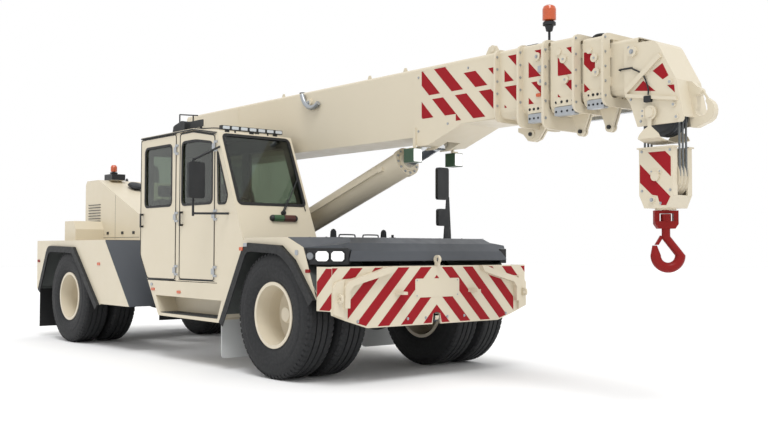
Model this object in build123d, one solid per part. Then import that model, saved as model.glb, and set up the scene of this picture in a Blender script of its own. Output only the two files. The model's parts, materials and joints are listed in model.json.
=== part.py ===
"""Articulated pick-and-carry mobile crane: front chassis with cab and telescopic boom, rear chassis with engine hood."""

import math
import os

from build123d import *

# Frame: +X forward, +Y to the vehicle's left, +Z up, ground at Z = 0, millimetres.

# ---- main sizes ---------------------------------------------------------------------------------
HALF_WIDTH = 1450.0  # body side planes
DECK_Z = 1520.0  # top of both decks
SKIN = 8.0  # sheet steel panels
PLATE = 25.0  # chassis plate
GAP = 8.0  # running gap round a door
SEAT = 0.0  # faces that rest on each other

# wheels
FRONT_AXLE_X = 1115.0
WHEELBASE = 5460.0
REAR_AXLE_X = FRONT_AXLE_X - WHEELBASE
TYRE_R = 685.0
TYRE_W = 375.0
RIM_R = 343.0
RIM_BARREL = 300.0
DUAL_Y = 1067.5  # middle of a pair
DUAL_PITCH = 430.0
DISC_T = 16.0
HUB_R = 150.0
AXLE_TUBE_R = 120.0

# articulation
PIVOT_X = -2685.0
KNUCKLE_R = 150.0
KNUCKLE_Z = (810.0, 1190.0)
KINGPIN_R = 60.0
YOKE_T = 45.0
YOKE_CLEAR = 6.0

# boom
FOOT_X, FOOT_Z = -2605.0, 2980.0
FOOT_PIN_R = 65.0
BOOM_HALF = 270.0
BOOM_TOP = 3345.0
BOOM_TAIL_X = -2935.0
BOOM_END_X = 3935.0
BOOM_WALL = 12.0
SECTION_STEP = 33.0  # each inner section is this much narrower on each side
TELESCOPE = 3400.0

# luff cylinder
BARREL_FOOT = (-1755.0, 1226.0)
ROD_EYE = (2150.0, 2555.0)
BARREL_R = 152.0
RUN_CLEAR = 0.1  # shaft and slide clearance
ROD_R = 84.0
LUFF_PIN_R = 60.0
LUFF_EYE_HALF = 85.0
POCKET_HALF = 95.0  # inside of the pocket under the boom that takes the rod's eye

# hook block
HEAD_PIN = (5015.0, 2560.0)
SHEAVE_R = 190.0
ROPE_PITCH_R = 172.0
ROPE_R = 11.0
BLOCK_PIN_Z = 2020.0
FALL_PITCH = 50.0


# ---- helpers ------------------------------------------------------------------------------------
def box(x0, x1, y0, y1, z0, z1):
    return Pos((x0 + x1) / 2, (y0 + y1) / 2, (z0 + z1) / 2) * Box(x1 - x0, y1 - y0, z1 - z0)


def side(points, y0, y1):
    """Outline given as (X, Z), drawn out from y0 to y1."""
    face = Face(Wire.make_polygon([(x, y0, z) for x, z in points], close=True))
    return extrude(face, amount=y1 - y0, dir=(0, 1, 0))


def plan(points, z0, z1):
    """Outline given as (X, Y), drawn up from z0 to z1."""
    face = Face(Wire.make_polygon([(x, y, z0) for x, y in points], close=True))
    return extrude(face, amount=z1 - z0, dir=(0, 0, 1))


def front(points, x0, x1):
    """Outline given as (Y, Z), drawn forward from x0 to x1."""
    face = Face(Wire.make_polygon([(x0, y, z) for y, z in points], close=True))
    return extrude(face, amount=x1 - x0, dir=(1, 0, 0))


def rod(p, q, r):
    p, q = Vector(*p), Vector(*q)
    return Plane(origin=p, z_dir=q - p) * Cylinder(r, (q - p).length, align=(Align.CENTER, Align.CENTER, Align.MIN))


def pin_y(x, z, r, y0, y1):
    return rod((x, y0, z), (x, y1, z), r)


def mirrored(shape):
    return mirror(shape, about=Plane.XZ)


def both(shape):
    return shape + mirrored(shape)


def inset(points, d):
    """The outline moved inwards by d, corner by corner; points run anticlockwise."""
    out = []
    n = len(points)
    for i in range(n):
        (ax, az), (bx, bz), (cx, cz) = points[i - 1], points[i], points[(i + 1) % n]
        u = Vector(bx - ax, bz - az).normalized()
        v = Vector(cx - bx, cz - bz).normalized()
        nu, nv = Vector(-u.Y, u.X), Vector(-v.Y, v.X)
        k = d / (1 + nu.dot(nv))
        out.append((bx + (nu.X + nv.X) * k, bz + (nu.Y + nv.Y) * k))
    return out


def ccw(points):
    area = sum(a[0] * b[1] - b[0] * a[1] for a, b in zip(points, points[1:] + points[:1]))
    return list(points) if area > 0 else list(reversed(points))


def rounded(points, size, steps=3, closed=True):
    """The outline with its corners eased, each starting at the given distance from the corner."""
    out = []
    n = len(points)
    for i, p in enumerate(points):
        if not closed and i in (0, n - 1):
            out.append(p)
            continue
        ends = []
        for q in (points[i - 1], points[(i + 1) % n]):
            length = math.dist(p, q)
            k = min(size, 0.45 * length) / length
            ends.append((p[0] + (q[0] - p[0]) * k, p[1] + (q[1] - p[1]) * k))
        for j in range(steps + 1):
            t = j / steps
            out.append(tuple((1 - t) ** 2 * ends[0][a] + 2 * t * (1 - t) * p[a] + t * t * ends[1][a] for a in (0, 1)))
    return out


def ring(points, width, y0, y1):
    """A closed frame of the given width inside an outline."""
    points = ccw(points)
    return side(points, y0, y1) - side(inset(points, width), y0 - 1, y1 + 1)


def at(points, z):
    """X on the line through two (X, Z) points at height z."""
    (x0, z0), (x1, z1) = points
    return x0 + (x1 - x0) * (z - z0) / (z1 - z0)


os.makedirs("parts", exist_ok=True)
nodes = {}

# ---- wheels -------------------------------------------------------------------------------------
tyre_half = TYRE_W / 2
bead = RIM_R - 4
TYRE_PROFILE = [
    (bead, -RIM_BARREL / 2 + 12),
    (bead + 40, -RIM_BARREL / 2 - 4),
    (TYRE_R - 180, -tyre_half),
    (TYRE_R - 60, -tyre_half + 14),
    (TYRE_R - 8, -tyre_half + 45),
    (TYRE_R, 0),
    (TYRE_R - 8, tyre_half - 45),
    (TYRE_R - 60, tyre_half - 14),
    (TYRE_R - 180, tyre_half),
    (bead + 40, RIM_BARREL / 2 + 4),
    (bead, RIM_BARREL / 2 - 12),
]


def turned(profile, x, y, z, spin=1):
    """A profile of (radius, offset along Y) turned about the axle line through (x, y, z)."""
    face = Face(Wire.make_polygon([(x + r, y + spin * s, z) for r, s in profile], close=True))
    return revolve(face, Axis((x, y, z), (0, 1, 0)), 360)


def rim(x, y, out):
    """One rim: barrel with a lip at each edge and a dished disc near its inner side; out is +1 or -1."""
    half = RIM_BARREL / 2
    barrel = turned(
        [
            (RIM_R - 4, -half + 12),
            (RIM_R + 14, -half),
            (RIM_R + 14, -half - 12),
            (RIM_R - 22, -half - 12),
            (RIM_R - 30, 0),
            (RIM_R - 22, half + 12),
            (RIM_R + 14, half + 12),
            (RIM_R + 14, half),
            (RIM_R - 4, half - 12),
        ],
        x, y, TYRE_R, out,
    )
    return barrel


def dual(x, sign):
    """Tyres and rims of one pair; sign is the vehicle side."""
    y_out = sign * (DUAL_Y + DUAL_PITCH / 2)
    y_in = sign * (DUAL_Y - DUAL_PITCH / 2)
    tyres = turned(TYRE_PROFILE, x, y_out, TYRE_R, sign) + turned(TYRE_PROFILE, x, y_in, TYRE_R, sign)
    rims = rim(x, y_out, sign) + rim(x, y_in, sign)
    # the two discs meet between the wheels and carry the hub
    mid = sign * DUAL_Y
    for wheel_y, way in ((y_out, 1), (y_in, -1)):
        disc = turned(
            [
                (HUB_R - 10, 0),
                (HUB_R + 70, 0),
                (RIM_R - 17, way * 60),
                (RIM_R - 17, way * (60 + DISC_T)),
                (HUB_R + 70, way * DISC_T),
                (HUB_R - 10, way * DISC_T),
            ],
            x, mid, TYRE_R, sign,
        )
        rims = rims + disc
    hub = turned(
        [(AXLE_TUBE_R * 0.5, -150), (HUB_R, -150), (HUB_R, 20), (HUB_R * 0.72, 60), (HUB_R * 0.62, 190), (HUB_R * 0.5, 215), (1, 215), (1, 180), (AXLE_TUBE_R * 0.5, 180)],
        x, mid, TYRE_R, sign,
    )
    rims = rims + hub
    # key block on the outer rim's lip side and the long slot in the disc
    slot = box(x - 26, x + 26, min(y_out, mid) - 400, max(y_out, mid) + 400, TYRE_R - 270, TYRE_R - 175)
    rims = rims - slot
    return tyres, rims


PAIRS = (
    ("front_right", FRONT_AXLE_X, -1),
    ("front_left", FRONT_AXLE_X, 1),
    ("rear_right", REAR_AXLE_X, -1),
    ("rear_left", REAR_AXLE_X, 1),
)
for name, x, sign in PAIRS:
    tyres, rims = dual(x, sign)
    nodes["tyres_" + name] = tyres
    nodes["rims_" + name] = rims

# ---- axles --------------------------------------------------------------------------------------
HUB_INNER_Y = DUAL_Y - 150
SPINDLE_R = AXLE_TUBE_R * 0.5 - 0.05
AXLE_END = DUAL_Y + 170
DIFF_R = 230.0


def axle(x):
    tube = pin_y(x, TYRE_R, AXLE_TUBE_R, -(HUB_INNER_Y - 8), HUB_INNER_Y - 8)
    spindle = pin_y(x, TYRE_R, SPINDLE_R, -AXLE_END, AXLE_END)
    diff = Pos(x, 0, TYRE_R) * Sphere(DIFF_R)
    pinion = rod((x, 0, TYRE_R), (x - 330, 0, TYRE_R + 25), 95)
    return tube + spindle + diff + pinion


nodes["front_axle"] = axle(FRONT_AXLE_X)
nodes["rear_axle"] = axle(REAR_AXLE_X)

# ---- front chassis ------------------------------------------------------------------------------
RAIL_Y = 330.0
RAIL_Z = (900.0, 1300.0)
RAIL_REAR_X = PIVOT_X + 430
RAIL_FRONT_X = 1900.0
TOWER_IN = BOOM_HALF + 36
TOWER_T = 40.0
rail = side(
    [
        (RAIL_REAR_X, 760), (RAIL_REAR_X + 900, 760), (FRONT_AXLE_X - 500, RAIL_Z[0] + 60), (RAIL_FRONT_X, RAIL_Z[0]),
        (RAIL_FRONT_X, RAIL_Z[1] - 60), (FRONT_AXLE_X - 600, RAIL_Z[1]), (RAIL_REAR_X, RAIL_Z[1] + 40),
    ],
    RAIL_Y - PLATE, RAIL_Y,
)
tower = side(
    [
        (RAIL_REAR_X, RAIL_Z[1] + 40 - 1), (RAIL_REAR_X + 620, RAIL_Z[1] + 40), (FOOT_X + 260, 2700), (FOOT_X + 190, FOOT_Z + 90),
        (FOOT_X + 90, FOOT_Z + 165), (FOOT_X - 90, FOOT_Z + 165), (FOOT_X - 190, FOOT_Z + 80), (FOOT_X - 260, 2500), (PIVOT_X - 250, RAIL_Z[1] + 40),
    ],
    TOWER_IN, TOWER_IN + TOWER_T,
)
tower -= pin_y(FOOT_X, FOOT_Z, FOOT_PIN_R, 0, 1000)
tower += pin_y(FOOT_X, FOOT_Z, FOOT_PIN_R + 50, TOWER_IN + TOWER_T - 1, TOWER_IN + TOWER_T + 20) - pin_y(FOOT_X, FOOT_Z, FOOT_PIN_R, 0, 1000)
frame = both(rail + tower)
inner = RAIL_Y - PLATE + 1
frame += box(PIVOT_X - 230, RAIL_REAR_X + 375, -TOWER_IN - TOWER_T, TOWER_IN + TOWER_T, RAIL_Z[1] + 15, RAIL_Z[1] + 40)
# hinge barrel, its web back from the rails
frame += box(RAIL_REAR_X, RAIL_REAR_X + PLATE, -inner, inner, 770, RAIL_Z[1] + 20)
frame += box(PIVOT_X, RAIL_REAR_X + 5, -130, 130, KNUCKLE_Z[0], KNUCKLE_Z[1])
frame += rod((PIVOT_X, 0, KNUCKLE_Z[0]), (PIVOT_X, 0, KNUCKLE_Z[1]), KNUCKLE_R)
frame -= rod((PIVOT_X, 0, KNUCKLE_Z[0] - 10), (PIVOT_X, 0, KNUCKLE_Z[1] + 10), KINGPIN_R + 0.05)
# cross members and axle seats
for cx, top in ((RAIL_REAR_X + 900, 1120), (FRONT_AXLE_X - 620, 1230), (RAIL_FRONT_X - 60, 1230)):
    frame += box(cx, cx + 60, -inner, inner, 960, top)
# seat of the luff cylinder: an ear each side of its foot
bx, bz = BARREL_FOOT
frame += both(side(rounded([(bx - 210, 1000), (bx + 210, 1000), (bx + 95, bz + 105), (bx - 95, bz + 105)], 60), LUFF_EYE_HALF + 8, LUFF_EYE_HALF + 58))
frame += box(bx - 260, bx + 260, -inner, inner, 975, 1002)
frame += pin_y(bx, bz, LUFF_PIN_R - 0.05, -inner, inner)
# axle brackets and outriggers that carry the side panels
frame += both(box(FRONT_AXLE_X - 90, FRONT_AXLE_X + 90, RAIL_Y - PLATE - 60, RAIL_Y - 1, TYRE_R + 100, RAIL_Z[0] + 80))
frame -= pin_y(FRONT_AXLE_X, TYRE_R, AXLE_TUBE_R, -900, 900)
for ox in (-1300, -350):
    frame += both(box(ox, ox + 60, RAIL_Y - 5, HALF_WIDTH - SKIN, 900, 1000))
nodes["front_frame"] = frame

# ---- front body: hood, deck and floor -------------------------------------------------------------
HOOD_TOP_X = 1871.0
LAMP_TOP = 1404.0
HOOD_SIDE = HALF_WIDTH - SKIN
HOOD_BOTTOM = (2098.0, 1262.0)
CAB_FRONT = ((525.0, 1494.0), (-42.0, 2768.0))
CORNER_X = 1685.0
CORNER_Y = 1160.0
REAR_EDGE_X = -1992.0
SKIRT_TOP = (REAR_EDGE_X, 1287.0)
SKIRT_REAR = (-1482.0, 551.0)
SKIRT_FRONT = (-7.0, 539.0)
ARCH_FRONT = [(82.0, 554.0), (604.0, 1466.0), (1311.0, 1432.0), (1551.0, 1281.0), (1904.0, 881.0)]
ARCH_LIP = 92.0
CAB_INNER_Y = -420.0

nose = [
    (CORNER_X - 900, 1300), (HOOD_BOTTOM[0] - 30, HOOD_BOTTOM[1]), (HOOD_BOTTOM[0], HOOD_BOTTOM[1] + 12), (HOOD_BOTTOM[0] - 45, HOOD_BOTTOM[1] + 110),
    (HOOD_BOTTOM[0] - 120, HOOD_BOTTOM[1] + 195), (HOOD_TOP_X, DECK_Z - 4), (HOOD_TOP_X - 60, DECK_Z), (CORNER_X - 900, DECK_Z),
]
HOOD_PLAN = [
    (CORNER_X - 890, -HOOD_SIDE), (CORNER_X, -HOOD_SIDE), (HOOD_BOTTOM[0], -CORNER_Y), (HOOD_BOTTOM[0] + 20, -CORNER_Y + 120),
    (HOOD_BOTTOM[0] + 20, CORNER_Y - 120), (HOOD_BOTTOM[0], CORNER_Y), (CORNER_X, HOOD_SIDE), (CORNER_X - 890, HOOD_SIDE),
]
hood_block = side(ccw(nose), -HALF_WIDTH, HALF_WIDTH) & plan(HOOD_PLAN, 1200, 1600)
hood_void = side(inset(ccw([(CORNER_X - 1200, 1200), (HOOD_BOTTOM[0] - 12, 1200), (HOOD_BOTTOM[0] - 12, HOOD_BOTTOM[1] + 12), (HOOD_BOTTOM[0] - 57, HOOD_BOTTOM[1] + 110), (HOOD_BOTTOM[0] - 132, HOOD_BOTTOM[1] + 195), (HOOD_TOP_X - 6, DECK_Z - 8), (CORNER_X - 1200, DECK_Z - 4)]), 6), -HOOD_SIDE, HOOD_SIDE) & plan(inset(ccw(HOOD_PLAN), SKIN), 1100, 1700)
# sloping shoulders over the lamps, cut from the outside and left as skin
for s in (-1, 1):
    face = Face(Wire.make_polygon([(1385, s * 1452, DECK_Z + 2), (1674, s * 1452, 1412), (2300, s * 1452, 1400), (2300, s * 1452, 1700), (1385, s * 1452, 1700)], close=True))
    cutter = Solid.extrude(face, Vector(600, -s * 900, 130))
    hood_block -= cutter
    hood_void -= Pos(0, 0, -7) * cutter
hood = hood_block - hood_void
hood -= box(CORNER_X - 1000, CORNER_X - 880, -2000, 2000, 1100, DECK_Z - 6)
# open behind the side panels and where the lamps sit
for x1, top in ((CORNER_X - 300, DECK_Z - 8), (CORNER_X - 215, DECK_Z - 40), (CORNER_X - 25, LAMP_TOP)):
    hood -= both(box(CORNER_X - 990, x1, 1400, 1460, 1100, top))
for s in (-1, 1):
    hood -= plan([(1640, s * 1500), (1640, s * 1376), (2043, s * 1101), (2088, s * 1167), (2150, s * 1230), (2150, s * 1500)], 1100, LAMP_TOP)
# decks: left deck over the wheels and frame, and the strip beside the cab
deck_left = box(REAR_EDGE_X, CORNER_X - 880, RAIL_Y, HOOD_SIDE, DECK_Z - 6, DECK_Z)
deck_front = box(CAB_FRONT[0][0] + 20, CORNER_X - 880, -HOOD_SIDE, RAIL_Y + 1, DECK_Z - 6, DECK_Z)
deck = deck_left + deck_front
deck += box(-1580, CAB_FRONT[0][0] + 21, RAIL_Y, RAIL_Y + 8, 1240, DECK_Z)
deck -= box(REAR_EDGE_X - 10, -1580, RAIL_Y - 10, TOWER_IN + TOWER_T + 6, 1200, 1700)
deck += both(side([(600, 1300 - 85 * 60 / 1385), (1600, 1300 - 1085 * 60 / 1385), (1600, DECK_Z - 5), (600, DECK_Z - 5)], RAIL_Y - PLATE, RAIL_Y))
nodes["front_hood"] = hood + deck

# ---- front side panels with the step wells -------------------------------------------------------
SIDE_PANEL = ccw([
    SKIRT_TOP, SKIRT_REAR, SKIRT_FRONT, (ARCH_FRONT[0][0], 554), ARCH_FRONT[1], ARCH_FRONT[2], ARCH_FRONT[3], ARCH_FRONT[4],
    (1904, 881), (1674, 1412), (1385, 1512), (545, DECK_Z), (525, 1494), (REAR_EDGE_X - 18, 1494),
])
STEP_WELL = ccw([(-1564, 810), (74, 803), (-19, 577), (-1436, 580)])
DOOR_SILL = 992.0
right_panel_outline = ccw([
    (at((SKIRT_TOP, SKIRT_REAR), DOOR_SILL), DOOR_SILL), SKIRT_REAR, SKIRT_FRONT, ARCH_FRONT[0], ARCH_FRONT[1], ARCH_FRONT[2], ARCH_FRONT[3], ARCH_FRONT[4],
    (1674, 1412), (1385, DECK_Z), (545, DECK_Z), (545, 1494), (-38, 1494), (-38, DOOR_SILL),
])
left_panel_outline = ccw([
    SKIRT_TOP, SKIRT_REAR, SKIRT_FRONT, ARCH_FRONT[0], ARCH_FRONT[1], ARCH_FRONT[2], ARCH_FRONT[3], ARCH_FRONT[4],
    (1674, 1412), (1385, DECK_Z), (REAR_EDGE_X - 18, DECK_Z), (REAR_EDGE_X - 18, 1300),
])
panels = side(right_panel_outline, -HALF_WIDTH, -HALF_WIDTH + SKIN)
panels += side(left_panel_outline, HALF_WIDTH - SKIN, HALF_WIDTH)
well_cut = side(STEP_WELL, -HALF_WIDTH - 5, -HALF_WIDTH + 300)
panels -= well_cut + mirrored(well_cut)
STEP_DEPTH = 260.0
well = ring(STEP_WELL, 6, -HALF_WIDTH, -HALF_WIDTH + STEP_DEPTH) + side(STEP_WELL, -HALF_WIDTH + STEP_DEPTH, -HALF_WIDTH + STEP_DEPTH + 6)
panels += both(well)
# rear returns of the skirts
ret = side([SKIRT_TOP, SKIRT_REAR, (SKIRT_REAR[0] + 10, SKIRT_REAR[1]), (SKIRT_TOP[0] + 10, SKIRT_TOP[1])], HALF_WIDTH - 330, HALF_WIDTH - SKIN + 1)
panels += ret
low = at((SKIRT_TOP, SKIRT_REAR), DOOR_SILL)
panels += side([(low, DOOR_SILL - 1), SKIRT_REAR, (SKIRT_REAR[0] + 10, SKIRT_REAR[1]), (low + 10, DOOR_SILL - 1)], -HALF_WIDTH + SKIN - 1, -HALF_WIDTH + 330)
nodes["front_panels"] = panels

# ---- rubber guards over the wheels and mud flaps ----------------------------------------------------
FLARE_OUT = 44.0
FLARE_T = 10.0


HOUSING_CLEAR = 40.0
HOUSING_T = 6.0


def offset_open(points, t):
    out = []
    n = len(points)
    for i, (x, z) in enumerate(points):
        a = points[max(i - 1, 0)]
        b = points[min(i + 1, n - 1)]
        if i in (0, n - 1):
            d = Vector(b[0] - a[0], b[1] - a[1]).normalized()
            nx, nz, k = -d.Y, d.X, t
        else:
            u = Vector(x - a[0], z - a[1]).normalized()
            v = Vector(b[0] - x, b[1] - z).normalized()
            nx, nz = -u.Y - v.Y, u.X + v.X
            k = t / (1 + (u.Y * v.Y + u.X * v.X))
        out.append((x + nx * k, z + nz * k))
    return out


def liner(points, s):
    """The wheel housing's skin, clear of the tyre."""
    outline = offset_open(points, HOUSING_CLEAR) + list(reversed(offset_open(points, HOUSING_CLEAR + HOUSING_T)))
    y0, y1 = (640, HALF_WIDTH - SKIN + 1) if s > 0 else (-HALF_WIDTH + SKIN - 1, -640)
    return side(outline, y0, y1)


def flare(points, s):
    """A rubber band that stands out from the arch outline, with a lip turned in over the tyre's edge."""
    line = rounded(points, 110, 4, closed=False)
    band = line + list(reversed(rounded(offset_open(points, -FLARE_T), 104, 4, closed=False)))
    lip = line + list(reversed(rounded(offset_open(points, -ARCH_LIP), 80, 4, closed=False)))
    y0, y1 = HALF_WIDTH - SKIN, HALF_WIDTH + FLARE_OUT
    shape = side(band, y0, y1) + side(lip, y1 - 8, y1)
    return shape if s > 0 else mirrored(shape)


ARCH_REAR = [(REAR_AXLE_X + x, z) for x, z in ((-1140, 750), (-768, 1441), (221, 1421), (1089, 600))]
nodes["front_guards"] = flare(ARCH_FRONT, 1) + flare(ARCH_FRONT, -1)
nodes["rear_guards"] = flare(ARCH_REAR, 1) + flare(ARCH_REAR, -1)
nodes["front_panels"] += liner(ARCH_FRONT, 1) + liner(ARCH_FRONT, -1) - box(ARCH_FRONT[4][0] - 2, 2300, -2000, 2000, 500, 1500)
nodes["front_panels"] += both(box(40, 60, 641, HALF_WIDTH - SKIN, 574, 606))

# ---- bumper -----------------------------------------------------------------------------------------
BUMPER_X = 2141.0
BUMPER_T = 20.0
bumper_face = front(
    [(-968, 587), (-62, 587), (-46, 712), (0, 745), (46, 712), (62, 587), (968, 587), (1250, 672), (1424, 733), (1430, 770), (1430, 1217), (-1430, 1217), (-1430, 770), (-1424, 733), (-1250, 672)],
    BUMPER_X - BUMPER_T, BUMPER_X,
)
LEDGE = ccw([(660, 1216), (742, 1208), (903, 1160), (1187, 1093), (1262, 1066), (1299, 1012), (1301, 802), (1236, 802), (1234, 972), (1190, 1024), (880, 1098), (700, 1148)])
LEDGE_OUT = 52.0
BRACKET = ccw([(1296, 702), (1422, 742), (1424, 1010), (1392, 1062), (1296, 1088)])
bumper = bumper_face
for s in (-1, 1):
    # wing back to the side plane
    bumper += plan([(BUMPER_X - BUMPER_T, s * 1430), (BUMPER_X, s * 1430), (1914, s * HALF_WIDTH), (1914, s * (HALF_WIDTH - 14))], 770, 1215)
    bumper += plan([(BUMPER_X - 90, s * 1235), (BUMPER_X - 1, s * 1235), (BUMPER_X - 1, s * 1431), (1914, s * (HALF_WIDTH - 12)), (1914, s * 1380)], 770, 782)
    # ledge that runs down and out from the top edge, then turns down
    bumper += front([(s * y, z) for y, z in LEDGE], BUMPER_X - 1, BUMPER_X + LEDGE_OUT)
    # corner bracket with its lug
    bumper += front([(s * y, z) for y, z in BRACKET], BUMPER_X - 1, BUMPER_X + 26)
    tab = side(rounded([(BUMPER_X + 25, 850), (BUMPER_X + 92, 862), (BUMPER_X + 92, 938), (BUMPER_X + 25, 950)], 24), s * 1362 - 12, s * 1362 + 12)
    bumper += tab - pin_y(BUMPER_X + 60, 900, 19, s * 1362 - 30, s * 1362 + 30)
    # lashing lug
    lug = plan([(BUMPER_X - 1, s * 545 - 60), (BUMPER_X + 110, s * 545 - 28), (BUMPER_X + 135, s * 545), (BUMPER_X + 110, s * 545 + 28), (BUMPER_X - 1, s * 545 + 60)], 920, 950)
    lug -= rod((BUMPER_X + 80, s * 545, 900), (BUMPER_X + 80, s * 545, 970), 24)
    bumper += lug
    bumper += box(RAIL_FRONT_X, BUMPER_X - BUMPER_T + 1, s * RAIL_Y - 40, s * RAIL_Y + 40, 920, 1200)
# top shelf between bumper and hood, eye in its middle
bumper += box(HOOD_BOTTOM[0] - 120, BUMPER_X - 1, -1050, 1050, 1205, 1217)
EYE_R = 28.0
eye = pin_y(BUMPER_X + 12, 1286, EYE_R + 18, -15, 15) + box(BUMPER_X - 19, BUMPER_X + 40, -15, 15, 1215, 1286)
eye -= pin_y(BUMPER_X + 12, 1286, EYE_R, -40, 40)
bumper += eye
# towing hook in the notch, below the bumper's back
bumper += box(1990, BUMPER_X - BUMPER_T + 1, -30, 30, 700, 790) + pin_y(BUMPER_X - 52, 668, 62, -24, 24) - pin_y(BUMPER_X - 52, 668, 32, -40, 40) - box(BUMPER_X - 50, BUMPER_X + 20, -40, 40, 676, 700)
nodes["front_bumper"] = bumper

# ---- head lamps ---------------------------------------------------------------------------------------
cx, cy = HOOD_BOTTOM[0] - CORNER_X, -(HALF_WIDTH - CORNER_Y)
clen = math.hypot(cx, cy)
ux, uy = cx / clen, -cy / clen  # along the swept face, right side: forward and inboard
lamps = None
for s in (-1, 1):
    def on_face(d, back):
        x = CORNER_X + ux * d - uy * back
        y = -HALF_WIDTH + uy * d + ux * back
        return x, -s * y if s > 0 else y

    a, b, c, d2 = on_face(15, 70), on_face(clen - 20, 70), on_face(clen - 20, 6), on_face(15, 6)
    panel = plan([a, b, c, d2], 1235, LAMP_TOP)
    for d0, d1, z0, z1 in ((70, 185, 1265, 1385), (205, 315, 1265, 1385)):
        p = [on_face(d0, 12), on_face(d1, 12), on_face(d1, -4), on_face(d0, -4)]
        panel += plan(p, z0, z1)
    px, py = on_face(390, 10)
    qx, qy = on_face(390, -12)
    panel += rod((px, py, 1322), (qx, qy, 1322), 62)
    lamps = panel if lamps is None else lamps + panel
nodes["head_lamps"] = lamps

# ---- cab ------------------------------------------------------------------------------------------------
CAB_REAR_X = -2010.0
CAB_WALL = 50.0
CAB_TOP = [(CAB_REAR_X, 2856.0), (-621.0, 2861.0), (-42.0, 2768.0)]
CAB_FLOOR = 1000.0
cab_outline = ccw(CAB_TOP + [(525, 1494), (470, 1400), (215, CAB_FLOOR), (at((SKIRT_TOP, SKIRT_REAR), CAB_FLOOR), CAB_FLOOR), (REAR_EDGE_X, 1287)])
cab_solid = side(cab_outline, -HALF_WIDTH, CAB_INNER_Y)
cab_void = side(inset(cab_outline, CAB_WALL), -HALF_WIDTH + CAB_WALL, CAB_INNER_Y - CAB_WALL)
cab = cab_solid - cab_void
# below the hood line, ahead of the front door, the outer wall sits behind the side panel
cab -= side([(-38, 900), (800, 900), (800, DECK_Z), (545, DECK_Z), (545, 1494), (-38, 1494)], -HALF_WIDTH - 5, -HALF_WIDTH + SKIN)
PILLAR_X = (-1035.0, -960.0)
rear_opening = ccw([(CAB_REAR_X - 5, 2836), (PILLAR_X[0], 2836), (PILLAR_X[0], 1000), (-2100, 1000)])
front_opening = ccw([(PILLAR_X[1], 2834), (-621, 2836), (-95, 2750), (-95, 1010), (PILLAR_X[1], 1010)])
for opening in (rear_opening, front_opening):
    cab -= side(opening, -HALF_WIDTH - 5, -HALF_WIDTH + CAB_WALL)
# windows: windscreen, left side, rear, quarter light
GLASS_T = 6.0
SCREEN_Z = (1916.0, 2732.0)


def screen_x(z, back=0.0):
    return at(CAB_FRONT, z) - back


screen_cut = side(
    [(screen_x(SCREEN_Z[0], 120), SCREEN_Z[0]), (screen_x(SCREEN_Z[0], -60), SCREEN_Z[0]), (screen_x(SCREEN_Z[1], -60), SCREEN_Z[1]), (screen_x(SCREEN_Z[1], 120), SCREEN_Z[1])],
    -HALF_WIDTH + 62, CAB_INNER_Y - 55,
)
cab -= screen_cut
screen = side(
    [(screen_x(SCREEN_Z[0], 14), SCREEN_Z[0]), (screen_x(SCREEN_Z[0], 14 - GLASS_T), SCREEN_Z[0]), (screen_x(SCREEN_Z[1], 14 - GLASS_T), SCREEN_Z[1]), (screen_x(SCREEN_Z[1], 14), SCREEN_Z[1])],
    -HALF_WIDTH + 62, CAB_INNER_Y - 55,
)
QUARTER = rounded(ccw([(-44, 2535), (184, 2012), (144, 1923), (-22, 1922)]), 34, 2)
cab -= side(QUARTER, -HALF_WIDTH - 5, -HALF_WIDTH + CAB_WALL + 5)
glass = screen + side(QUARTER, -HALF_WIDTH + 8, -HALF_WIDTH + 8 + GLASS_T)
REAR_LIGHT = (-HALF_WIDTH + 160, CAB_INNER_Y - 160, 1960, 2640)
cab -= box(CAB_REAR_X - 20, CAB_REAR_X + CAB_WALL + 20, *REAR_LIGHT)
glass += box(CAB_REAR_X + 20, CAB_REAR_X + 20 + GLASS_T, *REAR_LIGHT)
LEFT_LIGHTS = (
    ccw([(-1860, 1950), (-1080, 1950), (-1080, 2650), (-1860, 2650)]),
    ccw([(-940, 1950), (160, 1950), (-140, 2640), (-940, 2640)]),
)
for outline in LEFT_LIGHTS:
    cab -= side(outline, CAB_INNER_Y - CAB_WALL - 10, CAB_INNER_Y + 10)
    glass += side(outline, CAB_INNER_Y - 20 - GLASS_T, CAB_INNER_Y - 20)
# capsule lamp below the windscreen
LAMP_Z = 1753.0
lampx = screen_x(LAMP_Z) + 14
LAMP_R = 40.0
capsule = rod((lampx, -987, LAMP_Z), (lampx, -682, LAMP_Z), LAMP_R) + Pos(lampx, -987, LAMP_Z) * Sphere(LAMP_R) + Pos(lampx, -682, LAMP_Z) * Sphere(LAMP_R)
nodes["head_lamps"] += capsule - side(cab_outline, -HALF_WIDTH, CAB_INNER_Y)
nodes["cab_shell"] = cab
nodes["cab_glass"] = glass

# ---- doors ------------------------------------------------------------------------------------------------
DOOR_T = 42.0
HINGE_OUT = 14.0
HINGE_R = 11.0
HINGE_PIN_R = 5.0
DOORS = (
    # name, outline, window outline, hinge X, hinge heights, handle height
    (
        "rear",
        ccw([(CAB_REAR_X, 2828), (PILLAR_X[0] - GAP, 2828), (PILLAR_X[0] - GAP, 1000 + GAP), (at((SKIRT_TOP, SKIRT_REAR), 1000 + GAP), 1000 + GAP), (CAB_REAR_X + 18, 1287), (CAB_REAR_X, 1320)]),
        rounded(ccw([(-1881, 1939), (-1160, 1939), (-1160, 2700), (-1881, 2700)]), 70, 3),
        PILLAR_X[0], (1130, 1790, 2628), 1764,
    ),
    (
        "front",
        ccw([(PILLAR_X[1] + GAP, 2820), (-621, 2823), (-95 - GAP, 2737), (-95 - GAP, 1010 + GAP), (PILLAR_X[1] + GAP, 1010 + GAP)]),
        rounded(ccw([(-896, 1936), (-163, 1936), (-163, 2650), (-560, 2705), (-896, 2705)]), 70, 3),
        -95.0, (1130, 1790, 2600), 1764,
    ),
)
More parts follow.
